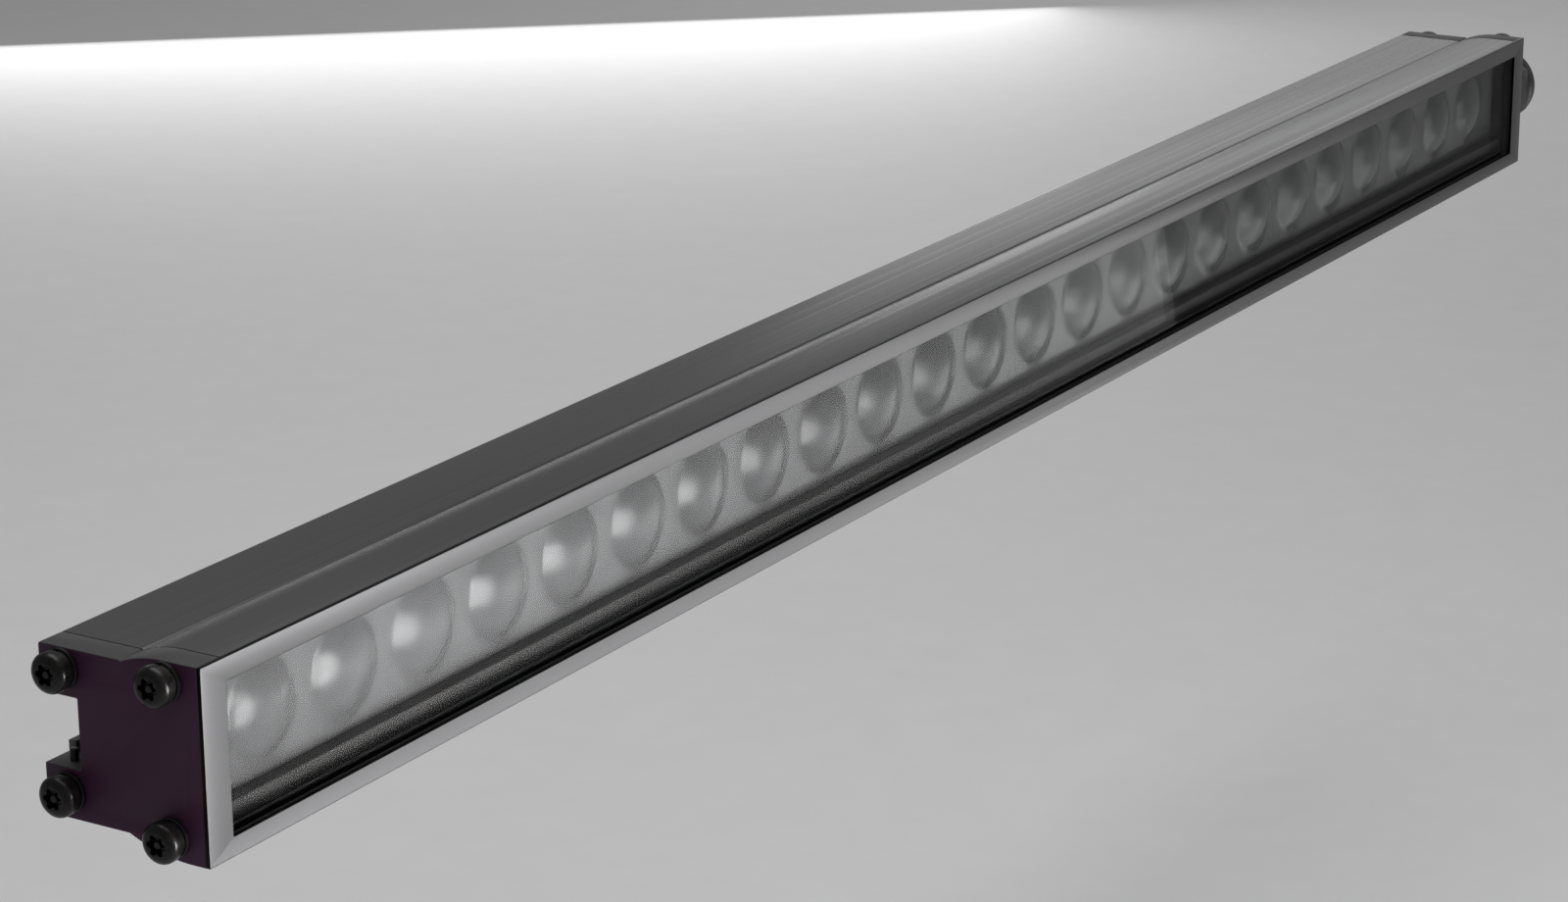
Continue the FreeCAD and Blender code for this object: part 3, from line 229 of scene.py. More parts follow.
def turned(rings, centre, axis="x", way=1, steps=72):
    """A piece turned about an axis: rings lists (distance along, radius), either of which may
    change with the angle, as numbers or as arrays of one value per step."""
    angle = 2 * np.pi * np.arange(steps) / steps
    points = []
    for distance, radius in rings:
        distance = np.broadcast_to(np.asarray(distance, float), steps)
        radius = np.broadcast_to(np.asarray(radius, float), steps)
        first, second = radius * np.cos(angle), radius * np.sin(angle)
        order = {"x": (way * distance, first, second), "y": (first, way * distance, second),
                 "z": (first, second, way * distance)}
        points.append(np.stack(order[axis], axis=1) + np.asarray(centre, float))
    points = np.concatenate(points)
    return points, grid_faces(len(rings), steps), np.zeros(len(points))


def hexagon_radius(flats, steps):
    """Distance to a hexagon's side at each angle: half the flats over the cosine of the angle
    from the nearest flat's middle."""
    angle = 2 * np.pi * np.arange(steps) / steps
    nearest = (angle + np.pi / 6) % (np.pi / 3) - np.pi / 6
    return flats / 2 / np.cos(nearest)


def joined(parts):
    """Several surfaces as one."""
    points, faces, rims, offset = [], [], [], 0
    for part_points, part_faces, part_rims in parts:
        points.append(part_points)
        rims.append(part_rims)
        faces += [tuple(corner + offset for corner in face) for face in part_faces]
        offset += len(part_points)
    return np.concatenate(points), faces, np.concatenate(rims)


def piece(name, parts, body, material, replaces, sharp=30):
    """Builds one piece from its surfaces: doubles merged, poles closed, faces turned outwards, and
    edges kept sharp where the surface turns by more than sharp degrees."""
    points, faces, rims = joined(parts)
    mesh = bpy.data.meshes.new(name)
    mesh.from_pydata(as_metres(points).tolist(), [], faces)
    mask = mesh.attributes.new("rim", "FLOAT", "POINT")
    mask.data.foreach_set("value", rims.astype(np.float32))
    work = bmesh.new()
    work.from_mesh(mesh)
    bmesh.ops.remove_doubles(work, verts=work.verts, dist=1e-6)
    bmesh.ops.dissolve_degenerate(work, edges=work.edges, dist=1e-7)
    bmesh.ops.recalc_face_normals(work, faces=work.faces)
    work.to_mesh(mesh)
    work.free()
    mesh.polygons.foreach_set("use_smooth", np.ones(len(mesh.polygons), bool))
    mesh.set_sharp_from_angle(angle=math.radians(sharp))
    mesh.update()
    item = bpy.data.objects.new(name, mesh)
    bpy.context.scene.collection.objects.link(item)
    mesh.materials.append(material)
    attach(item, body)
    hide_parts(*replaces)
    return item


# ---- materials ------------------------------------------------------------------------------------

class Finish:
    """A Principled material with helpers that add its grain, wear and relief."""

    def __init__(self, name, colour, roughness, metallic=0.0, **sockets):
        self.material = bpy.data.materials.new(name)
        self.material.use_nodes = True
        self.tree = self.material.node_tree
        self.shader = self.tree.nodes["Principled BSDF"]
        self.colour = colour
        self.shader.inputs["Base Color"].default_value = (*colour, 1)
        self.shader.inputs["Roughness"].default_value = roughness
        self.shader.inputs["Metallic"].default_value = metallic
        for socket, value in sockets.items():
            self.shader.inputs[socket.replace("_", " ")].default_value = value
        self.place = self.add("ShaderNodeTexCoord").outputs["Object"]

    def add(self, kind, **values):
        node = self.tree.nodes.new(kind)
        for name, value in values.items():
            setattr(node, name, value)
        return node

    def wire(self, output, target):
        self.tree.links.new(output, target)

    def noise(self, scale, stretch=(1, 1, 1), detail=4.0, roughness=0.55):
        """Noise over Object coordinates, drawn out along an axis by a small stretch there."""
        mapping = self.add("ShaderNodeMapping")
        mapping.inputs["Scale"].default_value = stretch
        texture = self.add("ShaderNodeTexNoise")
        texture.inputs["Scale"].default_value = scale
        texture.inputs["Detail"].default_value = detail
        texture.inputs["Roughness"].default_value = roughness
        self.wire(self.place, mapping.inputs["Vector"])
        self.wire(mapping.outputs["Vector"], texture.inputs["Vector"])
        return texture.outputs["Fac"]

    def spread(self, value, low, high, to_low, to_high):
        """Carries a value from one range to another."""
        node = self.add("ShaderNodeMapRange")
        node.inputs["From Min"].default_value = low
        node.inputs["From Max"].default_value = high
        node.inputs["To Min"].default_value = to_low
        node.inputs["To Max"].default_value = to_high
        self.wire(value, node.inputs["Value"])
        return node.outputs["Result"]

    def blend(self, share, first, second):
        """Mixes two colours by a share; each may be a colour or an output."""
        node = self.add("ShaderNodeMix", data_type="RGBA")
        self.wire(share, node.inputs["Factor"])
        for socket, colour in ((node.inputs[6], first), (node.inputs[7], second)):
            if isinstance(colour, tuple):
                socket.default_value = (*colour, 1)
            else:
                self.wire(colour, socket)
        return node.outputs[2]

    def rim(self):
        """The piece's own mask: 1 on rims and walls, 0 on end faces; the bezel and the caps paint shade by
        it.
        """
        return self.add("ShaderNodeAttribute", attribute_name="rim").outputs["Fac"]

    def height(self):
        """How high a point stands, in the frame's metres."""
        split = self.add("ShaderNodeSeparateXYZ")
        self.wire(self.place, split.inputs[0])
        return split.outputs["Z"]

    def paint(self, output):
        self.wire(output, self.shader.inputs["Base Color"])

    def gloss(self, output):
        self.wire(output, self.shader.inputs["Roughness"])

    def relief(self, height, strength, distance):
        """Bump from a height in metres."""
        bump = self.add("ShaderNodeBump")
        bump.inputs["Strength"].default_value = strength
        bump.inputs["Distance"].default_value = distance
        self.wire(height, bump.inputs["Height"])
        self.wire(bump.outputs["Normal"], self.shader.inputs["Normal"])


BODY_GREY = (0.062, 0.062, 0.064)


def tint(colour, amount):
    return tuple(min(1.0, channel * amount) for channel in colour)


def anodised(name, colour, roughness, metallic):
    """Satin anodised extrusion: die lines along its length, faint clouding, a fine matt tooth."""
    finish = Finish(name, colour, roughness, metallic)
    lines = finish.noise(60, (0.02, 9, 9), detail=6)
    cloud = finish.noise(7, (0.6, 1, 1), detail=3)
    tooth = finish.noise(2600, detail=2)
    shade = finish.blend(finish.spread(cloud, 0.35, 0.65, 0, 1), tint(colour, 0.9), tint(colour, 1.1))
    shade = finish.blend(finish.spread(lines, 0.35, 0.7, 0, 0.35), shade, tint(colour, 1.07))
    finish.paint(shade)
    finish.gloss(finish.spread(lines, 0.3, 0.7, roughness - 0.05, roughness + 0.07))
    height = finish.add("ShaderNodeMath", operation="ADD")
    finish.wire(finish.spread(lines, 0, 1, 0, 1), height.inputs[0])
    finish.wire(finish.spread(tooth, 0, 1, 0, 0.5), height.inputs[1])
    finish.relief(height.outputs[0], 0.09, 0.00005)
    return finish.material


def bezel_paint():
    """Satin metal bezel whose cut edges are painted black as a painted dark reflection and whose window walls
    are painted black as painted shade.
    """
    face, edge = (0.145, 0.145, 0.148), (0.006, 0.006, 0.006)
    finish = Finish("bezel_paint", face, 0.36, 0.9, Specular_IOR_Level=0.3)
    grain = finish.noise(1500, (1, 1, 1), detail=3)
    cloud = finish.noise(9, (0.5, 1, 1), detail=3)
    shade = finish.blend(finish.spread(cloud, 0.35, 0.65, 0, 1), tint(face, 0.95), tint(face, 1.04))
    shade = finish.blend(finish.spread(grain, 0.35, 0.7, 0, 0.3), shade, tint(face, 0.85))
    # Painted dark reflection on the outer edges and painted shade on the window walls: all walls and rims go
    # black.
    finish.paint(finish.blend(finish.spread(finish.rim(), 0.25, 0.75, 0, 1), shade, edge))
    finish.gloss(finish.spread(grain, 0.3, 0.7, 0.32, 0.42))
    finish.relief(grain, 0.18, 0.00004)
    return finish.material


def cap_paint():
    """Satin coat: the end face is painted dark aubergine as painted shade with a painted purple reflection;
    the walls round it are the body's own grey.
    """
    end_face_shade, wall = (0.058, 0.019, 0.053), BODY_GREY
    finish = Finish("cap_paint", end_face_shade, 0.55, Specular_IOR_Level=0.25)
    peel = finish.noise(900, detail=2)
    cloud = finish.noise(25, detail=4)
    scuff = finish.noise(160, (1, 1, 1), detail=6)
    shade = finish.blend(finish.spread(cloud, 0.35, 0.65, 0, 1), tint(end_face_shade, 0.9), tint(end_face_shade, 1.1))
    shade = finish.blend(finish.spread(scuff, 0.66, 0.8, 0, 0.3), shade, tint(end_face_shade, 1.9))
    # Painted shade: end faces (mask 0) take the dark aubergine, walls and rims (mask 1) the body's grey.
    finish.paint(finish.blend(finish.spread(finish.rim(), 0.0, 0.5, 0, 1), shade, wall))
    finish.gloss(finish.spread(cloud, 0.3, 0.7, 0.48, 0.6))
    finish.relief(peel, 0.25, 0.00005)
    return finish.material


def black_steel():
    """Blackened steel with an oily sheen and a few brown tones."""
    dark = (0.004, 0.004, 0.004)
    finish = Finish("black_steel", dark, 0.3, Specular_IOR_Level=0.3)
    patch = finish.noise(420, detail=5)
    finish.paint(finish.blend(finish.spread(patch, 0.4, 0.7, 0, 1), dark, (0.009, 0.007, 0.006)))
    finish.gloss(finish.spread(patch, 0.3, 0.7, 0.24, 0.38))
    finish.relief(finish.noise(1600, detail=2), 0.12, 0.00003)
    return finish.material


def plain_metal(name, colour, roughness):
    """Turned or cast bright metal: fine grain and slight staining."""
    finish = Finish(name, colour, roughness, 0.85)
    grain = finish.noise(700, detail=4)
    stain = finish.noise(60, detail=3)
    stained = finish.spread(stain, 0.35, 0.65, 0, 1)
    finish.paint(finish.blend(stained, tint(colour, 0.85), tint(colour, 1.1)))
    finish.gloss(finish.spread(grain, 0.3, 0.7, roughness - 0.06, roughness + 0.08))
    finish.relief(grain, 0.15, 0.00003)
    return finish.material


def moulded(name, colour, roughness, speckle=0.0):
    """Moulded plastic or rubber: an even skin with a fine spark texture."""
    finish = Finish(name, colour, roughness)
    skin = finish.noise(900, detail=3)
    cloud = finish.noise(40, detail=3)
    shade = finish.blend(finish.spread(cloud, 0.35, 0.65, 0, 1), tint(colour, 0.92), tint(colour, 1.08))
    if speckle:
        shade = finish.blend(finish.spread(skin, 0.58, 0.72, 0, speckle), shade, tint(colour, 1.7))
    finish.paint(shade)
    finish.gloss(finish.spread(skin, 0.3, 0.7, roughness - 0.05, roughness + 0.07))
    finish.relief(skin, 0.25, 0.00005)
    return finish.material


def lens_plastic():
    """Satin optics: a grey skin with faint flow marks, and painted shade that darkens it towards the foot of
    the sheet.
    """
    milk = (0.058, 0.058, 0.0587)
    finish = Finish("lens_plastic", milk, 0.2, Specular_IOR_Level=0.2)
    flow = finish.noise(30, (1, 1, 1), detail=4)
    skin = finish.noise(1200, detail=2)
    # Painted shade: below 24 mm the colour falls towards 0.55 of itself at the sheet's foot.
    rise = finish.spread(finish.height(), level_at(11.5), level_at(24.0), 0, 1)
    shade = finish.blend(finish.spread(flow, 0.35, 0.65, 0, 1), tint(milk, 0.94), tint(milk, 1.05))
    finish.paint(finish.blend(rise, tint(milk, 0.55), shade))
    finish.gloss(finish.spread(flow, 0.3, 0.7, 0.18, 0.22))
    finish.relief(skin, 0.01, 0.00001)
    return finish.material


def trim_plastic():
    """The strip under the lenses: dark grey along its top, as dark as the sheet's painted shade above it,
    with painted shade fading it to black at its foot.
    """
    finish = Finish("trim_plastic", (0.02, 0.02, 0.02), 0.5, Specular_IOR_Level=0.05)
    # Painted shade: the colour fades to black from 12.6 mm down to 8.2 mm.
    rise = finish.spread(finish.height(), level_at(8.2), level_at(12.6), 0, 1)
    skin = finish.noise(1200, detail=2)
    finish.paint(finish.blend(rise, (0.0015, 0.0015, 0.0015), (0.024, 0.024, 0.0242)))
    finish.gloss(finish.spread(skin, 0.3, 0.7, 0.4, 0.5))
    finish.relief(skin, 0.05, 0.00002)
    return finish.material


def clear_glass():
    """Clear toughened pane; rays from the lamps pass it so that the lenses are lit."""
    finish = Finish("clear_glass", (0.985, 0.99, 0.99), 0.02, Transmission_Weight=1.0, IOR=1.07)
    path = finish.add("ShaderNodeLightPath")
    see_through = finish.add("ShaderNodeBsdfTransparent")
    see_through.inputs["Color"].default_value = (0.97, 0.975, 0.975, 1)
    mix = finish.add("ShaderNodeMixShader")
    smear = finish.noise(18, detail=5)
    finish.gloss(finish.spread(smear, 0.4, 0.8, 0.0, 0.008))
    finish.wire(path.outputs["Is Shadow Ray"], mix.inputs["Fac"])
    finish.wire(finish.shader.outputs["BSDF"], mix.inputs[1])
    finish.wire(see_through.outputs["BSDF"], mix.inputs[2])
    finish.wire(mix.outputs["Shader"], finish.tree.nodes["Material Output"].inputs["Surface"])
    return finish.material


FINISHES = {
    "anodised_body": anodised("anodised_body", BODY_GREY, 0.3, 0.0),
    "frame_paint": bezel_paint(),
    "cap_paint": cap_paint(),
    "clear_glass": clear_glass(),
    "black_rubber": moulded("black_rubber", (0.012, 0.012, 0.012), 0.62),
    "lens_plastic": lens_plastic(),
    "dark_trim": trim_plastic(),
    "black_steel": black_steel(),
    "gland_metal": plain_metal("gland_metal", (0.08, 0.081, 0.083), 0.34),
    "circuit_board": moulded("circuit_board", (0.62, 0.64, 0.6), 0.4, 0.1),
    "led_yellow": moulded("led_yellow", (0.75, 0.5, 0.06), 0.3),
    "thermal_grey": moulded("thermal_grey", (0.22, 0.24, 0.27), 0.7, 0.2),
    "plain_steel": plain_metal("plain_steel", (0.42, 0.42, 0.42), 0.28),
    "white_plastic": moulded("white_plastic", (0.66, 0.66, 0.63), 0.4),
    "driver_plastic": moulded("driver_plastic", (0.45, 0.46, 0.47), 0.5),
    "component_black": moulded("component_black", (0.02, 0.02, 0.022), 0.4),
    "wire_sleeve": moulded("wire_sleeve", (0.28, 0.03, 0.02), 0.45),
    "foot_aluminium": anodised("foot_aluminium", (0.24, 0.24, 0.245), 0.38, 0.5),
}
SLOT_OF = {row["node"]: row["material_slot"] for row in frame["record"]["subparts"]}
for node_name, node_object in frame["nodes"].items():
    if not node_object.material_slots:
        node_object.data.materials.append(FINISHES[SLOT_OF[node_name]])
    for holder in node_object.material_slots:
        holder.material = FINISHES[SLOT_OF[node_name]]


# ---- housing, caps and bezel ----------------------------------------------------------------------

def crown_and_keel(front):
    """The section's raised front half: its keel from front to shoulder, and its crown back again.

    Both bends are arcs that leave their flat on the tangent: radius = (run^2 + rise^2) / 2 rise.
    """
    keel_run, crown_run = SHOULDER - KEEL_FLAT, SHOULDER - CROWN_FLAT
    crown_drop = HEIGHT - REAR_TOP + VALLEY_DIP
    keel_radius = (keel_run ** 2 + REAR_BOTTOM ** 2) / 2 / REAR_BOTTOM
    crown_radius = (crown_run ** 2 + crown_drop ** 2) / 2 / crown_drop
    keel = arc_between((KEEL_FLAT, 0), (SHOULDER, REAR_BOTTOM), keel_radius)
    crown = arc_between((SHOULDER, REAR_TOP - VALLEY_DIP), (CROWN_FLAT, HEIGHT), crown_radius)
    low = [(front, 0.0), (KEEL_FLAT, 0.0), *map(tuple, keel), (SHOULDER, REAR_BOTTOM)]
    high = [(SHOULDER + VALLEY_RUN, REAR_TOP), (SHOULDER, REAR_TOP - VALLEY_DIP), *map(tuple, crown),
            (CROWN_FLAT, HEIGHT), (front, HEIGHT)]
    return low, high


def section(front, lips, hollow):
    """The closed outline of the housing or of a cap, anticlockwise seen from the left end."""
    low, high = crown_and_keel(front)
    if lips:
        rear = [
            (DEPTH, REAR_BOTTOM), (DEPTH, CHANNEL_LOW + LIP_HEIGHT), (LIP_FRONT, CHANNEL_LOW + LIP_HEIGHT),
            (LIP_FRONT, CHANNEL_LOW), (CHANNEL_FLOOR, CHANNEL_LOW), (CHANNEL_FLOOR, CHANNEL_HIGH),
            (LIP_FRONT, CHANNEL_HIGH), (LIP_FRONT, CHANNEL_HIGH - LIP_HEIGHT),
            (DEPTH, CHANNEL_HIGH - LIP_HEIGHT), (DEPTH, REAR_TOP),
        ]
    else:
        rear = [
            (DEPTH, REAR_BOTTOM), (DEPTH, CHANNEL_LOW), (CHANNEL_FLOOR, CHANNEL_LOW),
            (CHANNEL_FLOOR, CHANNEL_HIGH), (DEPTH, CHANNEL_HIGH), (DEPTH, REAR_TOP),
        ]
    inside = []
    if hollow:
        inside = [
            (front, SEAT_HIGH), (LEDGE_FRONT, SEAT_HIGH), (LEDGE_FRONT, WINDOW_HIGH),
            (LEDGE_BACK, WINDOW_HIGH), (LEDGE_BACK, CHAMBER_HIGH), (WEB_FRONT, CHAMBER_HIGH),
            (WEB_FRONT, CHAMBER_LOW), (LEDGE_BACK, CHAMBER_LOW), (LEDGE_BACK, WINDOW_LOW),
            (LEDGE_FRONT, WINDOW_LOW), (LEDGE_FRONT, SEAT_LOW), (front, SEAT_LOW),
        ]
    points = low + rear + high + inside
    radii = [0.15] * len(points)
    for number in range(1, len(low) - 1):
        radii[number] = 0.0
    first_high = len(low) + len(rear)
    for number in range(first_high + 2, first_high + len(high) - 1):
        radii[number] = 0.0
    radii[first_high], radii[first_high + 1] = 0.2, 0.1
    radii[len(low)] = radii[first_high - 1] = 0.9
    for number in range(len(low) + 1, first_high - 1):
        radii[number] = 0.45
    return rounded(points, radii)


def make_housing():
    holes = [box_loop((WEB_BACK, REAR_LOW), (REAR_WALL, REAR_HIGH), 1.0, hole=True)]
    holes += [circle_hole(place, SCREW_HOLE, 32) for place in SCREW_PLACES]
    bar = prism([section(FRAME_BACK, True, True), *holes], BODY_START, BODY_END, "x", (0.04, 0.04))
    piece("housing_extrusion", [bar], "lamp", FINISHES["anodised_body"], ["housing"], 28)


def make_cap(side):
    start, stop = (0.0, CAP_THICK) if side == "left" else (LENGTH - CAP_THICK, LENGTH)
    breaks = (0.3, 0.04) if side == "left" else (0.04, 0.3)
    # The outer end face is marked 0 for the cap's painted shade; the inner face and the walls are marked 1.
    marks = (0.0, 1.0) if side == "left" else (1.0, 0.0)
    holes = [circle_hole(place, CAP_HOLE, 32) for place in SCREW_PLACES]
    if side == "right":
        holes.append(circle_hole(GLAND_AT, GLAND_HOLE, 72))
    block = prism([section(FRAME_BACK, False, False), *holes], start, stop, "x", breaks, marks)
    piece("cap_block_" + side, [block], "lamp", FINISHES["cap_paint"], ["end_cap_" + side], 28)


def make_bezel():
    outer = box_loop((0, 0), (LENGTH, HEIGHT), 0.5)
    window = box_loop((WINDOW_LEFT, WINDOW_LOW), (LENGTH - WINDOW_LEFT, WINDOW_HIGH), 0.4, hole=True)
    # Walls and rims are marked 1, so that bezel_paint paints them black as painted reflection and shade.
    plate = prism([outer, window], 0.0, FRAME_BACK, "y", (0.25, 0.05))
    piece("bezel", [plate], "lamp", FINISHES["frame_paint"], ["front_frame"], 60)


# ---- optics ---------------------------------------------------------------------------------------

LENS_TIP, SHEET_FRONT, SHEET_BACK = 7.6, 12.5, 14.5
DOME_EDGE, DOME_DROP, DOME_FOOT = 14.9, 4.05, 18.2
RIM_RADIUS, RIM_WIDTH, RIM_HEIGHT = 17.4, 0.7, 0.05
STRIP_SWELL = 0.27
LENS_STEM = [(14.3, 0), (14.3, 9), (16.2, 5), (16.2, 0)]


def lens_rise(radius):
    """How far the moulding stands out of the flat sheet at a distance from the nearest lens centre.

    Inside the dome's edge it is a sphere: root(sphere^2 - r^2) less the sphere's own set-back.
    From the edge to the foot it is the cubic that keeps the sphere's height and slope at one end
    and lies flat on the sheet at the other. A low rim, height x exp(-((r - radius) / width)^2), rings it.
    """
    full = SHEET_FRONT - LENS_TIP
    sphere = (DOME_EDGE ** 2 + DOME_DROP ** 2) / 2 / DOME_DROP
    inside = np.minimum(radius, DOME_EDGE)
    dome = full - sphere + np.sqrt(sphere ** 2 - inside ** 2)
    reach = DOME_FOOT - DOME_EDGE
    slope = -DOME_EDGE / math.sqrt(sphere ** 2 - DOME_EDGE ** 2) * reach
    share = np.clip((radius - DOME_EDGE) / reach, 0, 1)
    skirt = (full - DOME_DROP) * (2 * share ** 3 - 3 * share ** 2 + 1)
    skirt = skirt + slope * (share ** 3 - 2 * share ** 2 + share)
    rim = RIM_HEIGHT * np.exp(-((radius - RIM_RADIUS) / RIM_WIDTH) ** 2)
    return np.where(radius < DOME_EDGE, dome, skirt) + rim


def lens_sheet(low, high, centres):
    """A strip of lenses as one closed shell: the front is a grid whose depth is the sheet's front
    less lens_rise of the distance to the nearest centre, and straight walls join it to a flat back."""
    columns, rows = 497, 77
    along = np.linspace(low[0], high[0], columns)
    up = np.linspace(low[2], high[2], rows)
    gap = np.abs(along[:, None] - centres[None, :]).min(axis=1)
    deep = SHEET_FRONT - lens_rise(np.hypot(gap[:, None], (up - LENS_LEVEL)[None, :]))
    wide, tall = np.meshgrid(along, up, indexing="ij")
    front = np.stack([wide, deep, tall], axis=-1).reshape(-1, 3)
    back = np.stack([wide[:, [0, -1]], np.full((columns, 2), SHEET_BACK), tall[:, [0, -1]]], axis=-1)
    index = np.arange(columns * rows).reshape(columns, rows)
    rear = columns * rows + np.arange(columns * 2).reshape(columns, 2)
    faces = []
    bands = ((index[:, :-1], index[:, 1:]), (rear[:, :1], index[:, :1]),
             (index[:, -1:], rear[:, 1:]), (rear[:, 1:], rear[:, :1]))
    for one, two in bands:
        faces += np.stack([one[:-1], one[1:], two[1:], two[:-1]], axis=-1).reshape(-1, 4).tolist()
    for end in (0, -1):
        faces.append(index[end].tolist() + rear[end, ::-1].tolist())
    points = np.concatenate([front, back.reshape(-1, 3)])
    return points, faces, np.zeros(len(points))


def make_lens_strip(number):
    """One strip of six lenses, with the stems that stand on its back. The strip is drawn a little
    longer than its node at both ends, so that its joint with the next one is a hairline."""
    low, high = span("lens_strip_%d" % number)
    per_strip = LENS_COUNT // STRIP_COUNT
    first = (LENGTH - LENS_COUNT * LENS_PITCH) / 2 + LENS_PITCH * (per_strip * (number - 1) + 0.5)
    centres = first + LENS_PITCH * np.arange(per_strip)
    low[0], high[0] = low[0] - STRIP_SWELL, high[0] + STRIP_SWELL
    parts = [lens_sheet(low, high, centres)]
    for centre in centres:
        parts.append(turned(LENS_STEM, (centre, 0, LENS_LEVEL), "y", 1, 36))
    piece("lens_row_%d" % number, parts, "lamp", FINISHES["lens_plastic"],
          ["lens_strip_%d" % number], 40)


# ---- cap screws -----------------------------------------------------------------------------------

SCREW_END, SHANK, HEAD = -26.0, 3.0, 6.3
HEAD_LOW, HEAD_SIDE_TOP, HEAD_TOP, HEAD_FLAT = 3.0, 5.3, 7.7, 3.4
RECESS, RECESS_LOBE, RECESS_DEPTH, PIN = 3.0, 0.55, 2.3, 1.2


def outer_face(side):
    """Where a cap's outer face lies along the light, and which way it looks."""
    return (0.0, -1) if side == "left" else (LENGTH, 1)


def security_screw(side, place):
    """A domed screw: its recess wall lies at radius + lobe x cos(6 angle), round a centre pin.
    The dome is a quarter ellipse from the head's side to the flat round the recess."""
    steps = 96
    lobes = RECESS + RECESS_LOBE * np.cos(12 * np.pi * np.arange(steps) / steps)
    rings = [(SCREW_END, 0.0), (SCREW_END, SHANK - 0.5), (SCREW_END + 0.6, SHANK), (HEAD_LOW, SHANK),
             (HEAD_LOW, HEAD - 0.3), (HEAD_LOW + 0.3, HEAD)]
    for turn in np.linspace(0, np.pi / 2, 14):
        rings.append((HEAD_SIDE_TOP + (HEAD_TOP - HEAD_SIDE_TOP) * math.sin(turn),
                      HEAD_FLAT + (HEAD - HEAD_FLAT) * math.cos(turn)))
    rings += [(HEAD_TOP, lobes + 0.18), (HEAD_TOP - 0.15, lobes), (HEAD_TOP - RECESS_DEPTH, lobes * 0.97)]
    rings += [(HEAD_TOP - RECESS_DEPTH - 0.05, PIN + 0.1), (HEAD_TOP - 0.6, PIN),
              (HEAD_TOP - 0.4, PIN - 0.2), (HEAD_TOP - 0.4, 0.0)]
    start, way = outer_face(side)
    return turned(rings, (start, *place), "x", way, steps)


def flat_washer(side, place):
    """A ring with its outer edges rounded."""
    hole, radius, thick, edge = 3.1, 6.2, 1.4, 0.25
    rings = [(0, hole), (0, radius - edge), (edge, radius), (thick - edge, radius), (thick, radius - edge),
             (thick, hole), (0, hole)]
    start, way = outer_face(side)
    return turned(rings, (start, *place), "x", way, 64)


def spring_washer(side, place):
    """A split ring: a square section carried round all but a small gap, its two ends standing
    apart along the axis as on a coil."""
    turns = np.linspace(0.08, 2 * np.pi - 0.08, 60) + np.pi / 2
    low, high, inner, outer = 1.45, 2.85, 3.15, 5.6
    corners = rounded([(low, inner), (high, inner), (high, outer), (low, outer)], [0.2] * 4)
    slope = 0.1 * np.linspace(-1, 1, len(turns))[:, None]
    distance = corners[None, :, 0] + slope
    radius = np.broadcast_to(corners[None, :, 1], distance.shape)
    start, way = outer_face(side)
    points = np.stack([start + way * distance, place[0] + radius * np.cos(turns)[:, None],
                       place[1] + radius * np.sin(turns)[:, None]], axis=-1).reshape(-1, 3)
    count = len(corners)
    faces = grid_faces(len(turns), count)
    faces.append(tuple(range(count)))
    faces.append(tuple(range(len(points) - count, len(points))))
    return points, faces, np.zeros(len(points))


def make_cap_fasteners(side):
    black = FINISHES["black_steel"]
    for name, node, shape in (
        ("security_screws_", "cap_screws_", security_screw),
        ("flat_washers_", "cap_flat_washers_", flat_washer),
        ("spring_washers_", "cap_spring_washers_", spring_washer),
    ):
        piece(name + side, [shape(side, place) for place in SCREW_PLACES], "lamp", black,
              [node + side])


def make_stop_pins():
    """A round-topped pin in each cap's notch."""
    inset, back, root, top, radius = 5.4, 6.5, 17.4, 24.7, 1.3
    rings = [(root, 0), (root, radius), (top - 0.4, radius), (top - 0.1, radius - 0.15), (top, 0.8), (top, 0)]
    parts = [turned(rings, (along, DEPTH - back, 0), "z", 1, 40) for along in (inset, LENGTH - inset)]
    piece("stop_pin_pair", parts, "lamp", FINISHES["black_steel"], ["stop_pins"])


# ---- cable gland ----------------------------------------------------------------------------------

def chamfered_hexagon(start, stop, flats, hole, chamfer, steps=120):
    """A hexagonal nut: at each station the radius is the lesser of the hexagon's and of a cone
    that cuts the corners near both ends."""
    side = hexagon_radius(flats, steps)
    corner = flats / math.sqrt(3)
    shares = (0.0, 0.25, 0.5, 0.75, 1.0)
    cones = [np.minimum(side, flats / 2 - 0.2 + (corner - flats / 2) * share) for share in shares]
    rings = [(start, hole)]
    rings += [(start + chamfer * share, cone) for share, cone in zip(shares, cones)]
    rings += [(start + chamfer, side), (stop - chamfer, side)]
    rings += [(stop - chamfer * share, cone) for share, cone in zip(shares[::-1], cones[::-1])]
    rings.append((stop, hole))
    return rings


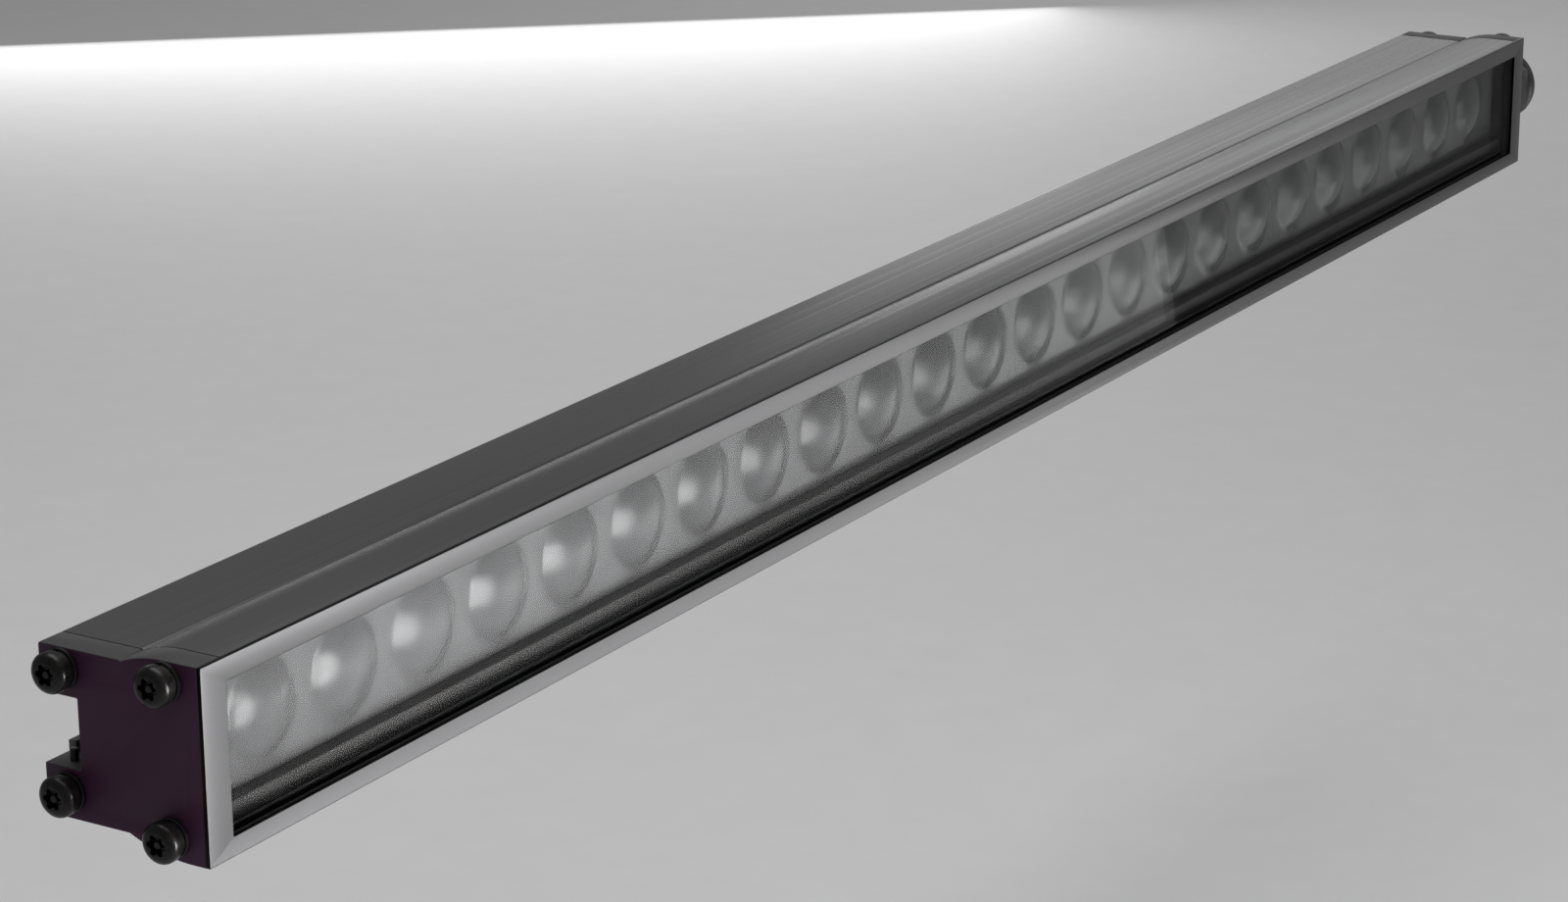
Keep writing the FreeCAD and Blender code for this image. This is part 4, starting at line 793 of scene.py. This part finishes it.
def make_gland():
    """The cable gland on the right cap: a threaded stem with a hexagonal flange, a hexagonal nut
    that runs through a round collar into a quarter-ellipse dome, a rubber insert and a washer."""
    centre = (LENGTH, *GLAND_AT)
    bore, thread, flats, mouth, insert_hole = 9.0, 12.4, 33.0, 8.0, 6.5
    root, stem_end, flange_end, nut_start, nut_end = -9.7, 24.0, 8.0, 8.4, 26.0
    collar, dome_start, dome_rise, dome_end_radius = 17.6, 31.6, 4.4, 10.6
    metal, rubber = FINISHES["gland_metal"], FINISHES["black_rubber"]

    def add(name, rings, material, node, steps):
        piece(name, [turned(rings, centre, "x", 1, steps)], "lamp", material, [node])

    rings = [(root, bore), (root, thread - 0.4), (root + 0.4, thread), (0.99, thread)]
    rings += chamfered_hexagon(1.0, flange_end, flats, thread, 1.6)
    rings += [(stem_end, thread), (stem_end, bore), (root, bore)]
    add("gland_stem", rings, metal, "gland_body", 120)

    rings = chamfered_hexagon(nut_start, nut_end, flats, thread + 0.1, 1.4)[:-1]
    rings += [(nut_end + 0.02, 16.2), (nut_end + 0.6, 16.3), (nut_end + 1.0, collar - 0.4),
              (nut_end + 1.4, collar), (dome_start, collar)]
    for turn in np.linspace(0, np.pi / 2, 10):
        rings.append((dome_start + dome_rise * math.sin(turn),
                      dome_end_radius + (collar - dome_end_radius) * math.cos(turn)))
    top = dome_start + dome_rise
    rings += [(top, mouth + 0.5), (top - 0.4, mouth), (31.1, mouth), (31.1, thread + 0.1),
              (nut_start, thread + 0.1)]
    add("gland_nut", rings, metal, "gland_dome_nut", 120)

    insert_end = 31.0
    rings = [(stem_end, insert_hole + 0.4), (stem_end, thread), (insert_end, thread),
             (insert_end, insert_hole + 0.5), (insert_end - 0.4, insert_hole), (stem_end + 0.4, insert_hole),
             (stem_end, insert_hole + 0.4)]
    add("gland_insert", rings, rubber, "gland_seal", 72)

    hole, outer, edge, thick = 12.5, 16.5, 0.3, 1.0
    rings = [(0, hole), (0, outer - edge), (edge, outer), (thick - edge, outer), (thick, outer - edge),
             (thick, hole), (0, hole)]
    add("gland_ring", rings, rubber, "gland_washer", 72)


# ---- wall feet ------------------------------------------------------------------------------------

def lug_outline(reach, half, radius, steps=20):
    """A tongue from reach to the pivot: straight sides at half, ended by an arc of radius that
    they meet, seen along the light with the pivot at its own place."""
    way = 1 if reach < PIVOT_DEEP else -1
    open_angle = math.asin(min(1.0, half / radius))
    angle = np.linspace(-(np.pi - open_angle), np.pi - open_angle, 2 * steps)
    arc = np.stack([PIVOT_DEEP + way * radius * np.cos(angle),
                    PIVOT_UP + way * radius * np.sin(angle)], axis=1)
    start = [(reach, PIVOT_UP - way * half)]
    finish = [(reach, PIVOT_UP + way * half)]
    return np.concatenate([start, arc, finish])


def socket_rings(face, depth, socket_radius, way=1):
    """A hexagon socket sunk from a face, as rings from its mouth to its floor."""
    return [(face, socket_radius * 1.12), (face - way * 0.25, socket_radius),
            (face - way * depth, socket_radius), (face - way * (depth + 0.4), 0.0)]


def make_slider(side):
    """The shoe in the channel with its pivot lug, and its two grub screws."""
    lug_half_wide, lug_half_tall, lug_radius, grub_apart = 4.0, 6.8, 9.0, 13.0
    middle, body = FOOT_PLACES[side], "slider_" + side
    low, high = span(body)
    shoe_front, shoe_back = low[1], LIP_FRONT - 0.3
    outline = box_loop((shoe_front, low[2]), (shoe_back, high[2]), 0.7)
    shoe = prism([outline], low[0], high[0], "x", (0.6, 0.6))
    bore = circle_hole((PIVOT_DEEP, PIVOT_UP), PIVOT_HOLE, 40)
    outline = lug_outline(shoe_back - 1.0, lug_half_tall, lug_radius)
    lug = prism([outline, bore], middle - lug_half_wide, middle + lug_half_wide, "x", (0.4, 0.4))
    piece("channel_shoe_" + side, [shoe, lug], body, FINISHES["foot_aluminium"], [body])
    point, top, radius = 46.25, 56.35, 2.45
    rings = [(point, 0.0), (point, 1.4), (point + 0.75, radius), (top - 0.25, radius), (top, radius - 0.25)]
    rings += socket_rings(top, 2.4, hexagon_radius(2.5, 36))
    grubs = [turned(rings, (middle + way * grub_apart, 0, PIVOT_UP), "y", 1, 36) for way in (-1, 1)]
    piece("grub_pair_" + side, grubs, body, FINISHES["plain_steel"], ["grub_screws_" + side])


def make_foot(side):
    """The wall plate with its two ears, and the pivot screw and nut that hold them to the lug."""
    plate_thick, ear_thick, ear_half_tall, ear_radius = 4.0, 4.0, 7.9, 8.0
    wall_screw_apart, wall_screw_hole = 22.0, 3.25
    middle, body = FOOT_PLACES[side], "foot_" + side
    low, high = span("wall_foot_" + side)
    plate_front = high[1] - plate_thick
    holes = [circle_hole((middle + way * wall_screw_apart, PIVOT_UP), wall_screw_hole, 40) for way in (-1, 1)]
    outline = box_loop((low[0], low[2]), (high[0], high[2]), 3.0)
    parts = [prism([outline, *holes], plate_front, high[1], "y", (0.5, 0.2))]
    bore = circle_hole((PIVOT_DEEP, PIVOT_UP), PIVOT_HOLE, 40)
    ear = lug_outline(plate_front + 0.4, ear_half_tall, ear_radius)
    for start in (middle - 8.2, middle + 4.2):
        parts.append(prism([ear, bore], start, start + ear_thick, "x", (0.4, 0.4)))
    piece("foot_bracket_" + side, parts, body, FINISHES["foot_aluminium"],
          ["wall_foot_" + side])
    steel, steps = FINISHES["plain_steel"], 60
    centre = (middle, PIVOT_DEEP, PIVOT_UP)
    tip, shank, head, head_start, head_top = 15.2, 3.0, 5.0, -8.2, -12.2
    rings = [(tip, 0.0), (tip, shank - 0.5), (tip - 0.5, shank), (head_start, shank)]
    rings += [(head_start, head - 0.2), (head_start - 0.2, head)]
    rings += [(head_top + 0.4, head), (head_top, head - 0.4)]
    rings += socket_rings(head_top, 2.2, hexagon_radius(5.0, steps), -1)
    piece("pivot_screw_" + side, [turned(rings, centre, "x", 1, steps)], body, steel,
          ["pivot_bolt_" + side])
    nut_start, nut_end = 8.2, 14.2
    rings = chamfered_hexagon(nut_start, nut_end, 10.0, PIVOT_HOLE, 0.8, steps) + [(nut_start, PIVOT_HOLE)]
    piece("pivot_hex_nut_" + side, [turned(rings, centre, "x", 1, steps)], body, steel,
          ["pivot_nut_" + side])


make_housing()
make_bezel()
for strip in range(1, STRIP_COUNT + 1):
    make_lens_strip(strip)
for end in SIDES:
    make_cap(end)
    make_cap_fasteners(end)
    make_slider(end)
    make_foot(end)
make_stop_pins()
make_gland()


# ---- floor, lamps and camera ----------------------------------------------------------------------

FLOOR_DROP = 0.35


def make_floor():
    """A pale floor some way under the light, which is held up as it would be on its wall."""
    level = float(CORNER[2]) - FLOOR_DROP
    mesh = bpy.data.meshes.new("floor")
    reach = 14.0
    mesh.from_pydata([(-reach, -reach, level), (reach, -reach, level), (reach, reach, level),
                      (-reach, reach, level)], [], [(0, 1, 2, 3)])
    item = bpy.data.objects.new("floor", mesh)
    bpy.context.scene.collection.objects.link(item)
    finish = Finish("floor_paint", (0.80, 0.80, 0.80), 0.75)
    grain = finish.noise(35, detail=4)
    finish.paint(finish.blend(finish.spread(grain, 0.3, 0.7, 0, 1), (0.79, 0.79, 0.79), (0.81, 0.81, 0.81)))
    mesh.materials.append(finish.material)


def soft_box(name, place, target, width, height, glow, spread=180.0):
    """A rectangular lamp at a place, turned towards a target, and not seen itself.

    Its power is pi x width x height x glow, times the share of a full half-space that a beam of
    this spread holds: sin^2 h - (h - sin 2h / 2) / tan h, where h is half the spread.
    """
    half = math.radians(spread) / 2
    share = 1.0 if spread >= 180 else math.sin(half) ** 2 - (half - math.sin(2 * half) / 2) / math.tan(half)
    lamp = bpy.data.lights.new(name, "AREA")
    lamp.shape = "RECTANGLE"
    lamp.size, lamp.size_y = width, height
    lamp.energy = glow * math.pi * width * height * share
    lamp.spread = math.radians(spread)
    item = bpy.data.objects.new(name, lamp)
    item.location = place
    item.rotation_euler = (Vector(target) - Vector(place)).to_track_quat("-Z", "Y").to_euler()
    item.visible_camera = False
    bpy.context.scene.collection.objects.link(item)


def make_studio():
    """A dim even room, a soft overhead light, a row of narrow-beamed lamps in front that fade to
    the right, a low panel that the bezel's left half mirrors, and boards beyond the far end and
    behind the light that the top mirrors. A row entry is the lamp's place along the light in
    metres, its width and its glow; lean is how far its beam turns to the left per 0.95 m."""
    world = bpy.data.worlds.new("studio")
    bpy.context.scene.world = world
    world.use_nodes = True
    background = world.node_tree.nodes["Background"]
    background.inputs["Color"].default_value = (1.0, 1.0, 1.0, 1)
    background.inputs["Strength"].default_value = 0.2
    soft_box("overhead", (-0.1, 0.1, 1.8), (-0.1, 0, 0), 1.6, 1.6, 2.7)
    row = ((-0.46, 0.14, 54.0), (-0.32, 0.14, 44.0), (-0.19, 0.12, 28.0), (-0.07, 0.12, 17.0),
           (0.06, 0.14, 10.0), (0.20, 0.14, 6.8), (0.35, 0.16, 4.4), (0.52, 0.18, 3.1))
    deep, level, tall, beam = -0.62, -0.085, 0.37, 40.0
    for number, (along, width, glow) in enumerate(row, start=1):
        lean = 0.03 + 0.25 * (along - row[0][0])
        aim = (along - lean, deep + 0.95, level + 0.15)
        soft_box("tall_lamp_%d" % number, (along, deep, level), aim, width, tall, glow, beam)
    soft_box("low_panel", (0.25, -0.58, -0.24), (-0.2, 0, 0), 0.9, 0.24, 1.6)
    soft_box("far_board", (2.9, 0.95, 0.6), (0.4, 0, 0), 1.6, 0.9, 0.85)
    soft_box("rear_board", (1.9, 1.6, -0.13), (0, 0, 0), 1.3, 0.48, 2.4)


def make_camera():
    """The photograph's own view, solved from the light's corners."""
    right = Vector((0.51841813, -0.85510689, -0.00590252))
    down = Vector((-0.25917678, -0.15054351, -0.95402518))
    ahead = Vector((0.81490492, 0.49611375, -0.29966834))
    camera = bpy.data.cameras.new("camera")
    camera.lens, camera.sensor_width, camera.clip_end = 92.97, 36.0, 60.0
    item = bpy.data.objects.new("camera", camera)
    turn = Matrix((right, -down, -ahead)).transposed().to_4x4()
    turn.translation = Vector((-1.32032, -0.77868, 0.42433))
    item.matrix_world = turn
    bpy.context.scene.collection.objects.link(item)
    bpy.context.scene.camera = item


make_floor()
make_studio()
make_camera()
bpy.context.scene.view_settings.view_transform = "Standard"
